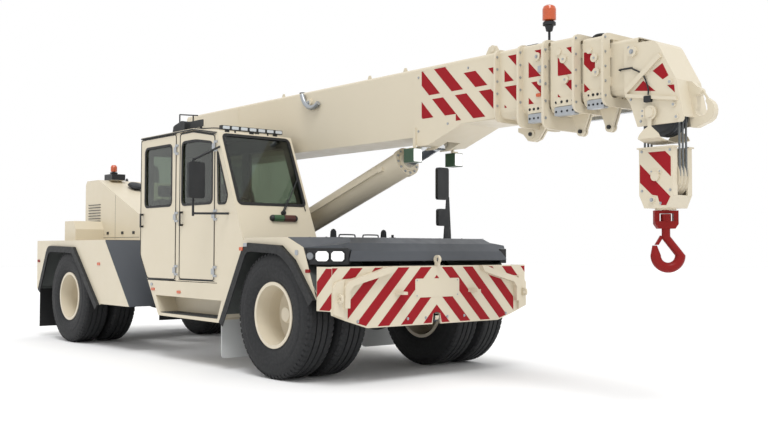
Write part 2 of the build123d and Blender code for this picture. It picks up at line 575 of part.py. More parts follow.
for name, outline, window, hinge_x, hinge_zs, handle_z in DOORS:
    y0 = -HALF_WIDTH
    door = side(outline, y0, y0 + DOOR_T)
    # hollow behind the outer skin, open to the cab below the window
    door -= side(window, y0 - 5, y0 + DOOR_T + 5)
    rear_x = min(x for x, _ in outline)
    # hinges: leaf and knuckle
    for hz in hinge_zs:
        door += box(hinge_x - GAP - 60, hinge_x - HINGE_R, y0 - 10, y0 + 0.5, hz - 35, hz + 35)
        door += rod((hinge_x, y0 - HINGE_OUT, hz - 35), (hinge_x, y0 - HINGE_OUT, hz + 35), HINGE_R)
        door += box(hinge_x - HINGE_R - 1, hinge_x, y0 - HINGE_OUT - 3, y0 - HINGE_OUT + 6, hz - 35, hz + 35)
        door -= rod((hinge_x, y0 - HINGE_OUT, hz - 36), (hinge_x, y0 - HINGE_OUT, hz + 36), HINGE_PIN_R)
    # handle: two feet and a bar
    hx = rear_x + 66
    door += box(hx, hx + 26, y0 - 34, y0 + 1, handle_z - 90, handle_z - 64) + box(hx, hx + 26, y0 - 34, y0 + 1, handle_z + 64, handle_z + 90)
    door += box(hx, hx + 26, y0 - 46, y0 - 33, handle_z - 90, handle_z + 90)
    nodes["door_" + name] = door
    nodes["door_glass_" + name] = side(window, y0 + 16, y0 + 16 + GLASS_T)
# pillar side of the hinges
for _, _, _, hinge_x, hinge_zs, _ in DOORS:
    for hz in hinge_zs:
        nodes["cab_shell"] += rod((hinge_x, -HALF_WIDTH - HINGE_OUT, hz - 64), (hinge_x, -HALF_WIDTH - HINGE_OUT, hz + 64), HINGE_PIN_R - 0.05)
        for dz in (-64, 36):
            nodes["cab_shell"] += box(hinge_x + 4, hinge_x + 52, -HALF_WIDTH - HINGE_OUT - 4, -HALF_WIDTH + 0.5, hz + dz, hz + dz + 28)
            nodes["cab_shell"] += rod((hinge_x, -HALF_WIDTH - HINGE_OUT, hz + dz), (hinge_x, -HALF_WIDTH - HINGE_OUT, hz + dz + 28), HINGE_R)
            nodes["cab_shell"] += box(hinge_x, hinge_x + 5, -HALF_WIDTH - HINGE_OUT - 4, -HALF_WIDTH - HINGE_OUT + 4, hz + dz, hz + dz + 28)

# ---- cab interior ------------------------------------------------------------------------------------------
FLOOR_TOP = CAB_FLOOR + CAB_WALL
SEATS = ((-780.0, -1150.0), (-780.0, -690.0), (-1640.0, -1150.0), (-1640.0, -690.0))
seats = None
for sx, sy in SEATS:
    one = box(sx - 110, sx + 180, sy - 130, sy + 130, FLOOR_TOP, FLOOR_TOP + 330)
    one += box(sx - 230, sx + 260, sy - 205, sy + 205, FLOOR_TOP + 330, FLOOR_TOP + 460)
    one += side([(sx - 240, FLOOR_TOP + 400), (sx - 110, FLOOR_TOP + 400), (sx - 180, FLOOR_TOP + 1010), (sx - 280, FLOOR_TOP + 1010)], sy - 195, sy + 195)
    one += side([(sx - 270, FLOOR_TOP + 1030), (sx - 190, FLOOR_TOP + 1030), (sx - 205, FLOOR_TOP + 1190), (sx - 275, FLOOR_TOP + 1190)], sy - 120, sy + 120)
    one += box(sx - 245, sx - 225, sy - 60, sy - 50, FLOOR_TOP + 1000, FLOOR_TOP + 1040) + box(sx - 245, sx - 225, sy + 50, sy + 60, FLOOR_TOP + 1000, FLOOR_TOP + 1040)
    seats = one if seats is None else seats + one
nodes["cab_seats"] = seats
DASH = [(215, FLOOR_TOP + 480), (390, 1560), (290, 1815), (110, 1850), (20, 1760), (40, 1600), (150, FLOOR_TOP + 480)]
dash = side(ccw(DASH), -HALF_WIDTH + CAB_WALL + 12, CAB_INNER_Y - CAB_WALL - 12)
column = rod((60, -1150, 1700), (-130, -1150, 1830), 28)
wheel_plane = Plane(origin=(-130, -1150, 1830), z_dir=(-190, 0, 130))
wheel = wheel_plane * Torus(200, 16)
spokes = wheel_plane * Box(400, 26, 12) + wheel_plane * Box(26, 400, 12) + wheel_plane * Cylinder(45, 30)
nodes["cab_controls"] = dash + column + wheel + spokes + box(120, 180, -1150 - 60, -1150 + 60, FLOOR_TOP, FLOOR_TOP + 490)

# ---- light bar and roof fittings ----------------------------------------------------------------------------
BAR_X = -72.0
BAR_Y = (-1400.0, -543.0)
light_bar = box(BAR_X - 28, BAR_X + 28, *BAR_Y, 2800, 2848)
for fy in (BAR_Y[0] + 90, sum(BAR_Y) / 2, BAR_Y[1] - 90):
    light_bar += box(BAR_X - 18, BAR_X + 18, fy - 22, fy + 22, 2750, 2801)
nodes["roof_light_bar"] = light_bar - side(cab_outline, -HALF_WIDTH, CAB_INNER_Y)

# ---- mirrors ----------------------------------------------------------------------------------------------------
MIRROR_R = (-22.0, -1780.0)  # stem of the right mirror
mirror_r = rod((215, -HALF_WIDTH - 2, 1800), (*MIRROR_R, 1800), 13)
mirror_r += rod((0, -HALF_WIDTH - 2, 2585), (*MIRROR_R, 2415), 13)
mirror_r += rod((*MIRROR_R, 1770), (*MIRROR_R, 2430), 14)
mirror_r += Pos(MIRROR_R[0] + 30, 0, 0) * front(rounded([(-1868, 1972), (-1658, 1972), (-1658, 2388), (-1868, 2388)], 34), -22, 22)
MIRROR_L = 955.0  # plane of the left mirrors and their post
mirror_l = front([(1240, DECK_Z), (1370, DECK_Z), (1335, 2060), (1292, 2060)], MIRROR_L - 7, MIRROR_L + 7)
mirror_l += box(MIRROR_L - 45, MIRROR_L + 45, 1250, 1360, DECK_Z, DECK_Z + 10)
for y0, y1, z0, z1 in ((1120, 1312, 2022, 2430), (1130, 1302, 1692, 1908)):
    mirror_l += front(rounded([(y0, z0), (y1, z0), (y1, z1), (y0, z1)], 34), MIRROR_L - 24, MIRROR_L + 24)
nodes["mirrors"] = mirror_r - side(cab_outline, -HALF_WIDTH, CAB_INNER_Y) + mirror_l

# ---- rear chassis -----------------------------------------------------------------------------------------------
REAR_END_X = -5639.0
WALL_LINE = ((-3085.0, 1515.0), (-2305.0, 616.0))
PANEL_LINE = ((-3100.0, 1515.0), (-2303.0, 616.0))
RECESS_Y = 760.0
rear_rail = side(
    [(-5600, 800), (-4700, 860), (-3300, 760), (-3050, 740), (-3050, 1290), (-3320, 1290), (-3620, DECK_Z - 8), (-5600, DECK_Z - 8)],
    RAIL_Y - PLATE, RAIL_Y,
)
rframe = both(rear_rail)
for cx, top in ((-3074, 1285), (-4100, 1120), (-4950, 1120), (-5625, 1320)):
    rframe += box(cx, cx + 25, -inner, inner, 780 if cx > -5000 else 830, top)
for z0, z1 in ((KNUCKLE_Z[0] - YOKE_CLEAR - YOKE_T, KNUCKLE_Z[0] - YOKE_CLEAR), (KNUCKLE_Z[1] + YOKE_CLEAR, KNUCKLE_Z[1] + YOKE_CLEAR + YOKE_T)):
    arm = plan([(-3060, -300), (-2850, -170), (PIVOT_X + 60, -150), (PIVOT_X + 145, -60), (PIVOT_X + 145, 60), (PIVOT_X + 60, 150), (-2850, 170), (-3060, 300)], z0, z1)
    rframe += arm
rframe += rod((PIVOT_X, 0, KNUCKLE_Z[0] - YOKE_CLEAR - YOKE_T - 20), (PIVOT_X, 0, KNUCKLE_Z[1] + YOKE_CLEAR + YOKE_T + 12), KINGPIN_R)
rframe += both(box(REAR_AXLE_X - 90, REAR_AXLE_X + 90, RAIL_Y - PLATE - 60, RAIL_Y - 1, TYRE_R + 100, 900))
rframe -= pin_y(REAR_AXLE_X, TYRE_R, AXLE_TUBE_R, -900, 900)
# tow hitch
rframe += box(-5639, -5600, -330, 330, 760, DECK_Z - 8)
rframe += box(-5800, -5639, -60, 60, 900, 930) + box(-5800, -5639, -60, 60, 990, 1020)
TOW_PIN_R = 26.0
rframe -= rod((-5750, 0, 850), (-5750, 0, 1100), TOW_PIN_R)
nodes["rear_frame"] = rframe

# rear body: side panels, deck, end plate and slanted front walls
rear_right = ccw([
    PANEL_LINE[0], PANEL_LINE[1], (-3240, 616), *reversed(ARCH_REAR),
    (-5630, 758), (-5639, DECK_Z), (-3104, DECK_Z),
])
rear = side(rear_right, -HALF_WIDTH, -HALF_WIDTH + SKIN)
rear = both(rear)
rear += liner(ARCH_REAR, 1) + liner(ARCH_REAR, -1)
rear += box(REAR_END_X, -3500, -HALF_WIDTH + SKIN - 1, HALF_WIDTH - SKIN + 1, DECK_Z - 8, DECK_Z) - box(-5110, -3940, -RAIL_Y + PLATE, RAIL_Y - PLATE, 1400, 1700)
rear += both(box(-3510, -3092, RECESS_Y, HALF_WIDTH - SKIN + 1, DECK_Z - 8, DECK_Z))
rear += front([(-HALF_WIDTH + 4, 900), (-1200, 758), (-340, 758), (-340, DECK_Z - 4), (-HALF_WIDTH + 4, DECK_Z - 4)], REAR_END_X, REAR_END_X + 10)
rear += front([(HALF_WIDTH - 4, 900), (1200, 758), (340, 758), (340, DECK_Z - 4), (HALF_WIDTH - 4, DECK_Z - 4)], REAR_END_X, REAR_END_X + 10)
wall = side([WALL_LINE[0], WALL_LINE[1], (WALL_LINE[1][0] - 14, 616), (WALL_LINE[0][0] - 14, 1515)], RECESS_Y, HALF_WIDTH - SKIN + 1)
rear += both(wall)
cheek = side([(-3500, 1513), (-3500, 1100), (-3240, 616), WALL_LINE[1], WALL_LINE[0]], RECESS_Y, RECESS_Y + SKIN)
rear += both(cheek)
rear += box(-3500, -3492, -RECESS_Y - 1, -RAIL_Y, 1100, 1513) + box(-3500, -3492, RAIL_Y, RECESS_Y + 1, 1100, 1513)
nodes["rear_body"] = rear

# engine hood: sheet cover, wider flat top at the back, long slope forward
HOOD_HALF = 720.0
hood_side = ccw([(-5485, DECK_Z), (-3500, DECK_Z), (-3485, 1890), (-4985, 2500), (-5430, 2500), (-5485, 2440)])
engine_hood = side(hood_side, -HOOD_HALF, HOOD_HALF)
engine_hood -= side([(-5475, DECK_Z - 5), (-3510, DECK_Z - 5), (-3495, 1884), (-4985, 2490), (-5425, 2490), (-5475, 2434)], -HOOD_HALF + SKIN, HOOD_HALF - SKIN)
nodes["engine_hood"] = engine_hood
nodes["engine_block"] = box(-5100, -3950, -330 + PLATE, 330 - PLATE, 1120, 1900) - box(-4100, -3900, -400, 400, 1600, 2000)

# box beside the hood, air cleaner, beacon
nodes["rear_body"] += side(ccw([(-5200, DECK_Z), (-4780, DECK_Z), (-4780, 1700), (-4860, 1830), (-5200, 1830)]), -1180, -HOOD_HALF)
beacon = box(-5130, -4850, -560, -330, 2500, 2600)
beacon += rod((-5040, -440, 2600), (-5040, -440, 2640), 45)
nodes["engine_hood"] += beacon
nodes["rear_beacon"] = rod((-5040, -440, 2640), (-5040, -440, 2760), 55)

# mud flaps
nodes["front_guards"] += both(Pos(30, 0, 0) * front(rounded([(660, 130), (HALF_WIDTH - 20, 130), (HALF_WIDTH - 20, 606), (660, 606)], 60), 0, 10))
nodes["rear_guards"] += both(box(REAR_AXLE_X - 1210, REAR_AXLE_X - 1200, 660, HALF_WIDTH - 20, 160, 790))
nodes["rear_body"] += both(box(REAR_AXLE_X - 1200, REAR_AXLE_X - 1155, 641, HALF_WIDTH - SKIN, 762, 790))

# ---- boom ---------------------------------------------------------------------------------------------------------
BOOM_LOW = 2600.0
SLEEVE_X = 2065.0
KNEE = (2805.0, 2720.0)
BELLY_Z = 2500.0
END_LOW = 2520.0


def section(x0, x1, half, z0, z1, low=0.0, top=0.0):
    """A solid of boom section: lower and upper corners eased by the given sizes."""
    line = []
    for corner, size in (((-half, z0), low), ((half, z0), low), ((half, z1), top), ((-half, z1), top)):
        if size:
            y, z = corner
            sy, sz = (1 if y < 0 else -1), (1 if z == z0 else -1)
            arc = [(y + sy * size * (1 - math.sin(a)), z + sz * size * (1 - math.cos(a))) for a in (math.pi / 2 * k / 4 for k in range(5))]
            # runs from the flat of z to the side, or back
            line += arc if (y > 0) == (z == z0) else list(reversed(arc))
        else:
            line.append(corner)
    return front(line, x0, x1)


def tube(x0, x1, half, z0, z1, wall=BOOM_WALL, low=0.0, top=0.0):
    return section(x0, x1, half, z0, z1, low, top) - section(x0 - 5, x1 + 5, half - wall, z0 + wall, z1 - wall, max(low - wall, 0), max(top - wall, 0))


def flange(x0, x1, half, z0, z1, bore_half, bore_z0, bore_z1, size=95.0):
    """A plate round the boom with eased corners."""
    return front(rounded([(-half, z0), (half, z0), (half, z1), (-half, z1)], size, 4), x0, x1) - box(x0 - 5, x1 + 5, -bore_half, bore_half, bore_z0, bore_z1)


LOW_EASE = 80.0  # lower corners of the boom sections
TOP_EASE = 30.0
FLANGE_OUT = 62.0
base = tube(BOOM_TAIL_X + 20, 3250, BOOM_HALF, KNEE[1] - 40, BOOM_TOP, BOOM_WALL, 0, TOP_EASE)
base += tube(3240, BOOM_END_X, BOOM_HALF, KNEE[1] - 40, BOOM_TOP, BOOM_WALL, LOW_EASE, TOP_EASE)
# deep rear part
keel = side([(BOOM_TAIL_X + 60, BOOM_LOW), (SLEEVE_X, BOOM_LOW), (SLEEVE_X + 60, BELLY_Z), (2300, BELLY_Z), (KNEE[0], KNEE[1] - 40), (KNEE[0], KNEE[1] - 30), (BOOM_TAIL_X + 20, KNEE[1] - 30), (BOOM_TAIL_X + 20, BOOM_LOW + 40)], -BOOM_HALF, BOOM_HALF)
keel_void = side([(BOOM_TAIL_X + 80, BOOM_LOW + 12), (SLEEVE_X + 8, BOOM_LOW + 12), (SLEEVE_X + 68, BELLY_Z + 12), (2295, BELLY_Z + 12), (KNEE[0] - 60, KNEE[1] - 39), (BOOM_TAIL_X + 80, KNEE[1] - 39)], -BOOM_HALF + BOOM_WALL, BOOM_HALF - BOOM_WALL)
base += keel - keel_void
base += side([(BOOM_TAIL_X, BOOM_LOW + 60), (BOOM_TAIL_X + 30, BOOM_LOW + 20), (BOOM_TAIL_X + 30, BOOM_TOP - 10), (BOOM_TAIL_X, BOOM_TOP - 40)], -BOOM_HALF, BOOM_HALF)
# outer sleeve plates that step out from SLEEVE_X on
sleeve_out = 8.0
doubler = side([(SLEEVE_X, BOOM_LOW), (SLEEVE_X + 60, BELLY_Z), (2300, BELLY_Z), (KNEE[0], KNEE[1] - 40), (3300, KNEE[1] - 30), (3300, BOOM_TOP - 60), (SLEEVE_X, BOOM_TOP - 60)], BOOM_HALF - 1, BOOM_HALF + sleeve_out)
base += both(doubler)
# ribs and end collar
for rib_x, low in ((3300.0, 2640.0), (3600.0, 2560.0)):
    base += flange(rib_x, rib_x + 25, BOOM_HALF + FLANGE_OUT, low, BOOM_TOP + 15, BOOM_HALF - 5, KNEE[1] - 35 + LOW_EASE, BOOM_TOP - 5 - TOP_EASE) - section(rib_x - 5, rib_x + 30, BOOM_HALF - 5, KNEE[1] - 35, BOOM_TOP - 5, LOW_EASE, TOP_EASE)
base += flange(BOOM_END_X - 28, BOOM_END_X, BOOM_HALF + FLANGE_OUT, END_LOW, BOOM_TOP + 15, BOOM_HALF - 40, KNEE[1] + 60, BOOM_TOP - 60) - section(BOOM_END_X - 35, BOOM_END_X + 5, BOOM_HALF - 5, KNEE[1] - 35, BOOM_TOP - 5, LOW_EASE, TOP_EASE)
# pocket under the belly for the rod's eye, with a lug plate each side
rx, rz = ROD_EYE
POCKET_X = (1830.0, 2420.0)
LUG_T = 24.0
pocket = both(side([(POCKET_X[0], BOOM_LOW + 1), (SLEEVE_X, BOOM_LOW + 1), (SLEEVE_X + 60, BELLY_Z + 1), (rx - 70, BELLY_Z - 30), (rx + 80, BELLY_Z - 30), (2300, BELLY_Z + 1), (POCKET_X[1], BELLY_Z + 44), (POCKET_X[1], KNEE[1] - 35), (POCKET_X[0], KNEE[1] - 35)], POCKET_HALF, POCKET_HALF + LUG_T))
base += pocket + box(POCKET_X[0], POCKET_X[0] + 12, -POCKET_HALF - 1, POCKET_HALF + 1, BOOM_LOW + 1, KNEE[1] - 35) + box(POCKET_X[1] - 12, POCKET_X[1], -POCKET_HALF - 1, POCKET_HALF + 1, BELLY_Z + 46, KNEE[1] - 35)
base -= box(POCKET_X[0] + 12, POCKET_X[1] - 12, -POCKET_HALF, POCKET_HALF, BELLY_Z - 60, KNEE[1] - 41)
base -= pin_y(rx, rz, LUFF_PIN_R + 2, -POCKET_HALF - LUG_T - 5, POCKET_HALF + LUG_T + 5)
# boom foot
base += pin_y(FOOT_X, FOOT_Z, FOOT_PIN_R + 55, -TOWER_IN + 6, TOWER_IN - 6)
base += pin_y(FOOT_X, FOOT_Z, FOOT_PIN_R - 0.05, -TOWER_IN - TOWER_T - 30, TOWER_IN + TOWER_T + 30)

# inner sections
half2, half3, half4 = (BOOM_HALF - SECTION_STEP * k - 2 for k in (1, 2, 3))


def pads(x1, wall, out_half, out_low, out_top, in_half, in_low, in_top):
    """Slide pads inside the front end of a section, bearing on the next one in."""
    x0 = x1 - 150
    lo, hi = out_low + wall - 1, in_low - RUN_CLEAR
    shape = both(box(x0, x1, in_half - 160, in_half - 80, lo, hi))
    shape += both(box(x0, x1, in_half - 110, in_half - 30, in_top + RUN_CLEAR, out_top - wall + 1))
    for z in (in_low + 85, in_top - 140):
        shape += both(box(x0, x1, in_half + RUN_CLEAR, out_half - wall + 1, z, z + 80))
    return shape


COLLAR = {2: (BOOM_END_X + 30, 4285.0), 3: (4315.0, 4585.0), 4: (4615.0, 4795.0)}


def inner_section(k, x0, x1, half, z0, z1, collar, lug_low):
    c0, c1 = collar
    body = tube(x0, x1, half, z0, z1, 10, IN_EASE, TOP_EASE)
    hollow = section(c0 - 5, c1 + 5, half - 2, z0 + 2, z1 - 2, IN_EASE, TOP_EASE)
    body += section(c0, c1, half + COLLAR_OUT, z0 - 55, z1 + COLLAR_OUT, LOW_EASE, TOP_EASE) - hollow
    body += flange(c1 - 25, c1, half + COLLAR_OUT + FLANGE_OUT, z0 - 70, z1 + COLLAR_OUT + 16, half - 60, z0 + 90, z1 - 60) - hollow
    mid = (c0 + c1) / 2
    for s in (-1, 1):
        lug = side([(mid - 105, z0 - 50), (mid + 105, z0 - 50), (mid + LUG_END * 0.96, lug_low + LUG_END * 1.3), (mid - LUG_END * 0.96, lug_low + LUG_END * 1.3)], *sorted((s * 30, s * 8)))
        lug += pin_y(mid, lug_low + LUG_END, LUG_END, *sorted((s * 30, s * 8)))
        body += lug - pin_y(mid, lug_low + LUG_END, 20, -200, 200)
    for zz in (z0 + 60, z1 - 90):
        body += both(pin_y(mid - 60, zz, 30, half + COLLAR_OUT - 1, half + COLLAR_OUT + 14))
    return body


IN_EASE = 62.0
COLLAR_OUT = 28.0
LUG_END = 45.0
LOW2 = KNEE[1] - 40 + BOOM_WALL + 18
TOP2 = BOOM_TOP - SECTION_STEP
low3, top3 = LOW2 + 28, BOOM_TOP - 2 * SECTION_STEP
low4, top4 = LOW2 + 56, BOOM_TOP - 3 * SECTION_STEP
base += pads(BOOM_END_X - 5, BOOM_WALL, BOOM_HALF, KNEE[1] - 40, BOOM_TOP, half2, LOW2, TOP2)
nodes["boom_base"] = base
nodes["boom_section_2"] = inner_section(2, -500, 4285, half2, LOW2, TOP2, COLLAR[2], 2452) + pads(4280, 10, half2, LOW2, TOP2, half3, low3, top3)
nodes["boom_section_3"] = inner_section(3, -200, 4585, half3, low3, top3, COLLAR[3], 2462) + pads(4580, 10, half3, low3, top3, half4, low4, top4)
head = tube(100, 4860, half4, low4, top4, 10, IN_EASE, TOP_EASE)
HEAD_HALF = 190.0
HEAD_T = 20.0
plate_outline = ccw([
    (4728, 3194), (5020, 3184), (5048, 3175), (5076, 3144), (5166, 2977), (5249, 2827), (5318, 2510), (5314, 2478), (5296, 2460), (4865, 2456), (4792, 2661), (4732, 2751),
])
cheek4 = side(plate_outline, HEAD_HALF - HEAD_T, HEAD_HALF)
rib_a = side([(5085, 3058), (5118, 3028), (4768, 2752), (4738, 2786)], HEAD_HALF - 1, HEAD_HALF + 24)
rib_b = side([(4752, 2756), (5256, 2672), (5262, 2640), (4758, 2722)], HEAD_HALF - 1, HEAD_HALF + 24)
boss = pin_y(4826, 3115, 45, HEAD_HALF - 1, HEAD_HALF + 28)
cheek4 += rib_a + rib_b + boss
head += both(cheek4)
head += box(4735, 4760, -HEAD_HALF + 1, HEAD_HALF - 1, 2760, 3190)
FRONT_LINE = [(5020, 3184), (5048, 3175), (5076, 3144), (5166, 2977), (5249, 2827), (5318, 2510)]
head += side(FRONT_LINE + list(reversed(offset_open(FRONT_LINE, -18))), -HEAD_HALF + 1, HEAD_HALF - 1)
# nose: thick open hook with its latch
nose_plate = side(ccw([
    (5285, 2425), (5338, 2419), (5400, 2442), (5452, 2459), (5486, 2484), (5503, 2522), (5507, 2561), (5498, 2598), (5479, 2627), (5434, 2660),
    (5424, 2632), (5440, 2598), (5441, 2563), (5428, 2530), (5398, 2512), (5366, 2514), (5338, 2534), (5330, 2560), (5341, 2600), (5347, 2690), (5386, 2712), (5380, 2745), (5345, 2765), (5300, 2812), (5245, 2822),
]), -30, 30)
nose_plate += side(ccw([(5372, 2738), (5392, 2730), (5440, 2656), (5424, 2646)]), -7, 7)
nose_plate += pin_y(5358, 2722, 28, -38, 38)
head += nose_plate
head += pin_y(HEAD_PIN[0], HEAD_PIN[1], 39.95, -HEAD_HALF - 52, HEAD_HALF + 52)
nodes["boom_head"] = head


def sheave(x, y, z, bore):
    return turned([(bore, -22), (SHEAVE_R - 40, -17), (SHEAVE_R, -24), (SHEAVE_R, -20), (ROPE_PITCH_R - ROPE_R, -8), (ROPE_PITCH_R - ROPE_R, 8), (SHEAVE_R, 20), (SHEAVE_R, 24), (SHEAVE_R - 40, 17), (bore, 22)], x, y, z)


FALLS_Y = (-FALL_PITCH, 0.0, FALL_PITCH)
hs = None
for fy in FALLS_Y:
    one = sheave(HEAD_PIN[0], fy, HEAD_PIN[1], 40.05)
    hs = one if hs is None else hs + one
nodes["head_sheaves"] = hs

# boom fittings: cable reel, covers, lamps
fit = box(2900, 3240, -120, 120, BOOM_TOP, BOOM_TOP + 70)
fit += rod((3660, -150, BOOM_TOP), (3660, -150, BOOM_TOP + 270), 18) + rod((3660, -150, BOOM_TOP + 270), (3660, -150, BOOM_TOP + 380), 52)
fit += box(3100, 3280, -230, -130, BOOM_TOP, BOOM_TOP + 120)
nodes["boom_fittings"] = fit
LIGHT_Z = (2320.0, 2470.0)
lights = None
for s in (-1, 1):
    lx = 2065.0 if s < 0 else 1975.0
    one = box(lx, lx + 150, s * 350 - 62, s * 350 + 62, *LIGHT_Z)
    one += box(2075, 2115, min(s * 278, s * 350), max(s * 278, s * 350), 2469, 2484) + box(2075, 2115, min(s * 278, s * 292), max(s * 278, s * 292), 2469, 2700)
    lights = one if lights is None else lights + one
nodes["work_lights"] = lights

# ---- luff cylinder -----------------------------------------------------------------------------------------------
fx, fz = BARREL_FOOT
dx, dz = rx - fx, rz - fz
span = math.hypot(dx, dz)
ex, ez = dx / span, dz / span
BARREL_LEN = 3590.0


def along(d, up=0.0):
    """A point d along the cylinder's axis from its foot, and so far above the axis."""
    return (fx + ex * d - ez * up, 0, fz + ez * d + ex * up)


barrel = rod(along(215), along(BARREL_LEN), BARREL_R) - rod(along(250), along(BARREL_LEN + 10), ROD_R + 4)
barrel += pin_y(fx, fz, 128, -LUFF_EYE_HALF, LUFF_EYE_HALF) + rod(along(95), along(220), 90)
barrel -= pin_y(fx, fz, LUFF_PIN_R, -LUFF_EYE_HALF - 5, LUFF_EYE_HALF + 5)
gland = rod(along(BARREL_LEN - 46), along(BARREL_LEN + 16), BARREL_R + 13) + rod(along(BARREL_LEN + 10), along(BARREL_LEN + 34), ROD_R + 26)
gland -= rod(along(BARREL_LEN - 90), along(BARREL_LEN + 60), ROD_R + RUN_CLEAR)
barrel += gland
# oil pipe along the right side, with its two blocks
for d in (330.0, 3320.0):
    barrel += Plane(origin=along(d), x_dir=(ex, 0, ez), z_dir=(-ez, 0, ex)) * Pos(0, -BARREL_R - 8, 0) * Box(64, 44, 44)
pipe_p, pipe_q = along(330), along(3320)
barrel += rod((pipe_p[0], -BARREL_R - 20, pipe_p[2]), (pipe_q[0], -BARREL_R - 20, pipe_q[2]), 12)
nodes["luff_barrel"] = barrel
luff_rod = rod(along(270), along(span - 40), ROD_R) + pin_y(rx, rz, 78, -LUFF_EYE_HALF, LUFF_EYE_HALF)
nodes["luff_rod"] = luff_rod - pin_y(rx, rz, LUFF_PIN_R - 14, -LUFF_EYE_HALF - 5, LUFF_EYE_HALF + 5)

# ---- hook block --------------------------------------------------------------------------------------------------
BLOCK_HALF_X = 168.0
BLOCK_HALF_Y = 144.0
BLOCK_T = 16.0
bxc = HEAD_PIN[0]
BLOCK_Z = (1750.0, 2275.0)
SWIVEL_R = 90.0
SLOT_HALF = 77.0  # open slot in each end for the falls
TOP_RIM = 14.0
SWIVEL_STUD_R = 30.0
block_outline = ccw([
    (bxc - BLOCK_HALF_X + 50, BLOCK_Z[0]), (bxc + BLOCK_HALF_X - 50, BLOCK_Z[0]), (bxc + BLOCK_HALF_X, BLOCK_Z[0] + 110), (bxc + BLOCK_HALF_X, BLOCK_Z[1]),
    (bxc - BLOCK_HALF_X, BLOCK_Z[1]), (bxc - BLOCK_HALF_X, BLOCK_Z[0] + 110),
])
cheekb = side(block_outline, BLOCK_HALF_Y - BLOCK_T, BLOCK_HALF_Y)
block = both(cheekb)
block += box(bxc - BLOCK_HALF_X + 50, bxc + BLOCK_HALF_X - 50, -BLOCK_HALF_Y + 1, BLOCK_HALF_Y - 1, BLOCK_Z[0], BLOCK_Z[0] + 24)
for s in (-1, 1):
    block += side([(bxc + s * 120, BLOCK_Z[0] + 2), (bxc + s * 166, BLOCK_Z[0] + 108), (bxc + s * 150, BLOCK_Z[0] + 108), (bxc + s * 104, BLOCK_Z[0] + 2)], -BLOCK_HALF_Y + 1, BLOCK_HALF_Y - 1)
    for w in (-1, 1):
        block += box(*sorted((bxc + s * 168, bxc + s * 152)), *sorted((w * SLOT_HALF, w * 143)), BLOCK_Z[0] + 105, BLOCK_Z[1])
rim_plate = box(bxc - BLOCK_HALF_X - TOP_RIM, bxc + BLOCK_HALF_X + TOP_RIM, -BLOCK_HALF_Y - TOP_RIM, BLOCK_HALF_Y + TOP_RIM, BLOCK_Z[1] - 13, BLOCK_Z[1])
rim_plate -= box(bxc - BLOCK_HALF_X + 24, bxc + BLOCK_HALF_X - 24, -BLOCK_HALF_Y + 24, BLOCK_HALF_Y - 24, BLOCK_Z[1] - 20, BLOCK_Z[1] + 5)
block += rim_plate - box(bxc - 300, bxc + 300, -SLOT_HALF, SLOT_HALF, BLOCK_Z[1] - 20, BLOCK_Z[1] + 5)
# side bosses
block += both(pin_y(4981, 1820, 26, BLOCK_HALF_Y - 1, BLOCK_HALF_Y + 16))
block += pin_y(bxc, BLOCK_PIN_Z, 39.95, -BLOCK_HALF_Y - 20, BLOCK_HALF_Y + 20)
block += rod((bxc, 0, BLOCK_Z[0] - 14), (bxc, 0, BLOCK_Z[0] + 1), SWIVEL_R)
block -= rod((bxc, 0, BLOCK_Z[0] - 20), (bxc, 0, BLOCK_Z[0] + 30), SWIVEL_STUD_R + 0.05)
# saddle over the block: a leg each side hung on the head pin, joined by a curved plate under the head
SADDLE_Y = 219.0
SADDLE_T = 10.0
SADDLE_X = (4894.0, 5113.0)
hx0, hz0 = HEAD_PIN
leg = side([
    (SADDLE_X[0], 2348), (SADDLE_X[1], 2348), (5098, 2378), (5058, 2414), (hx0 + 12, 2442), (hx0 + 16, hz0 - 20), (hx0 - 26, hz0 - 20), (hx0 - 20, 2442), (4950, 2418), (4908, 2378),
], SADDLE_Y, SADDLE_Y + SADDLE_T)
leg += pin_y(hx0, hz0, 62, SADDLE_Y, SADDLE_Y + SADDLE_T)
leg -= pin_y(hx0, hz0, 40.0, SADDLE_Y - 5, SADDLE_Y + SADDLE_T + 5)
dish = [(-229, 2352), (-150, 2330), (0, 2318), (150, 2330), (229, 2352)]
saddle = both(leg) + front(ccw(dish + [(y, z - 9) for y, z in reversed(dish)]), *SADDLE_X)
nodes["hook_block"] = Compound(children=[block, saddle])
bs = None
for fy in FALLS_Y:
    one = sheave(bxc, fy, BLOCK_PIN_Z, 40.05)
    bs = one if bs is None else bs + one
nodes["block_sheaves"] = bs
falls = None
for fy in FALLS_Y:
    for s in (-1, 1):
        one = rod((bxc + s * ROPE_PITCH_R, fy, BLOCK_PIN_Z), (bxc + s * ROPE_PITCH_R, fy, HEAD_PIN[1]), ROPE_R - 0.5)
        falls = one if falls is None else falls + one
nodes["hoist_falls"] = falls

# hook: yoke on the swivel stud, nut, forged hook and latch; drawn along X, then turned on the swivel
YOKE_TOP = BLOCK_Z[0] - 18.0
YOKE_LEG = 82.0
YOKE_W = 42.0
YOKE_BAR_Z = (1575.0, 1640.0)
HOOK_TURN = 50.0
HOOK_C = (16.0, 1345.0)
HOOK_BORE = 62.0
HOOK_SECTION = 88.0
yoke = front([(-28, YOKE_TOP - 26), (28, YOKE_TOP - 26), (28, YOKE_TOP), (-28, YOKE_TOP)], -YOKE_LEG - YOKE_W / 2, YOKE_LEG + YOKE_W / 2)
for s in (-1, 1):
    yoke += box(s * YOKE_LEG - YOKE_W / 2, s * YOKE_LEG + YOKE_W / 2, -28, 28, YOKE_BAR_Z[1] - 10, YOKE_TOP - 1)
yoke += side([(-100, YOKE_BAR_Z[1]), (-100, YOKE_BAR_Z[1] - 25), (-72, YOKE_BAR_Z[0]), (72, YOKE_BAR_Z[0]), (100, YOKE_BAR_Z[1] - 25), (100, YOKE_BAR_Z[1])], -38, 38)
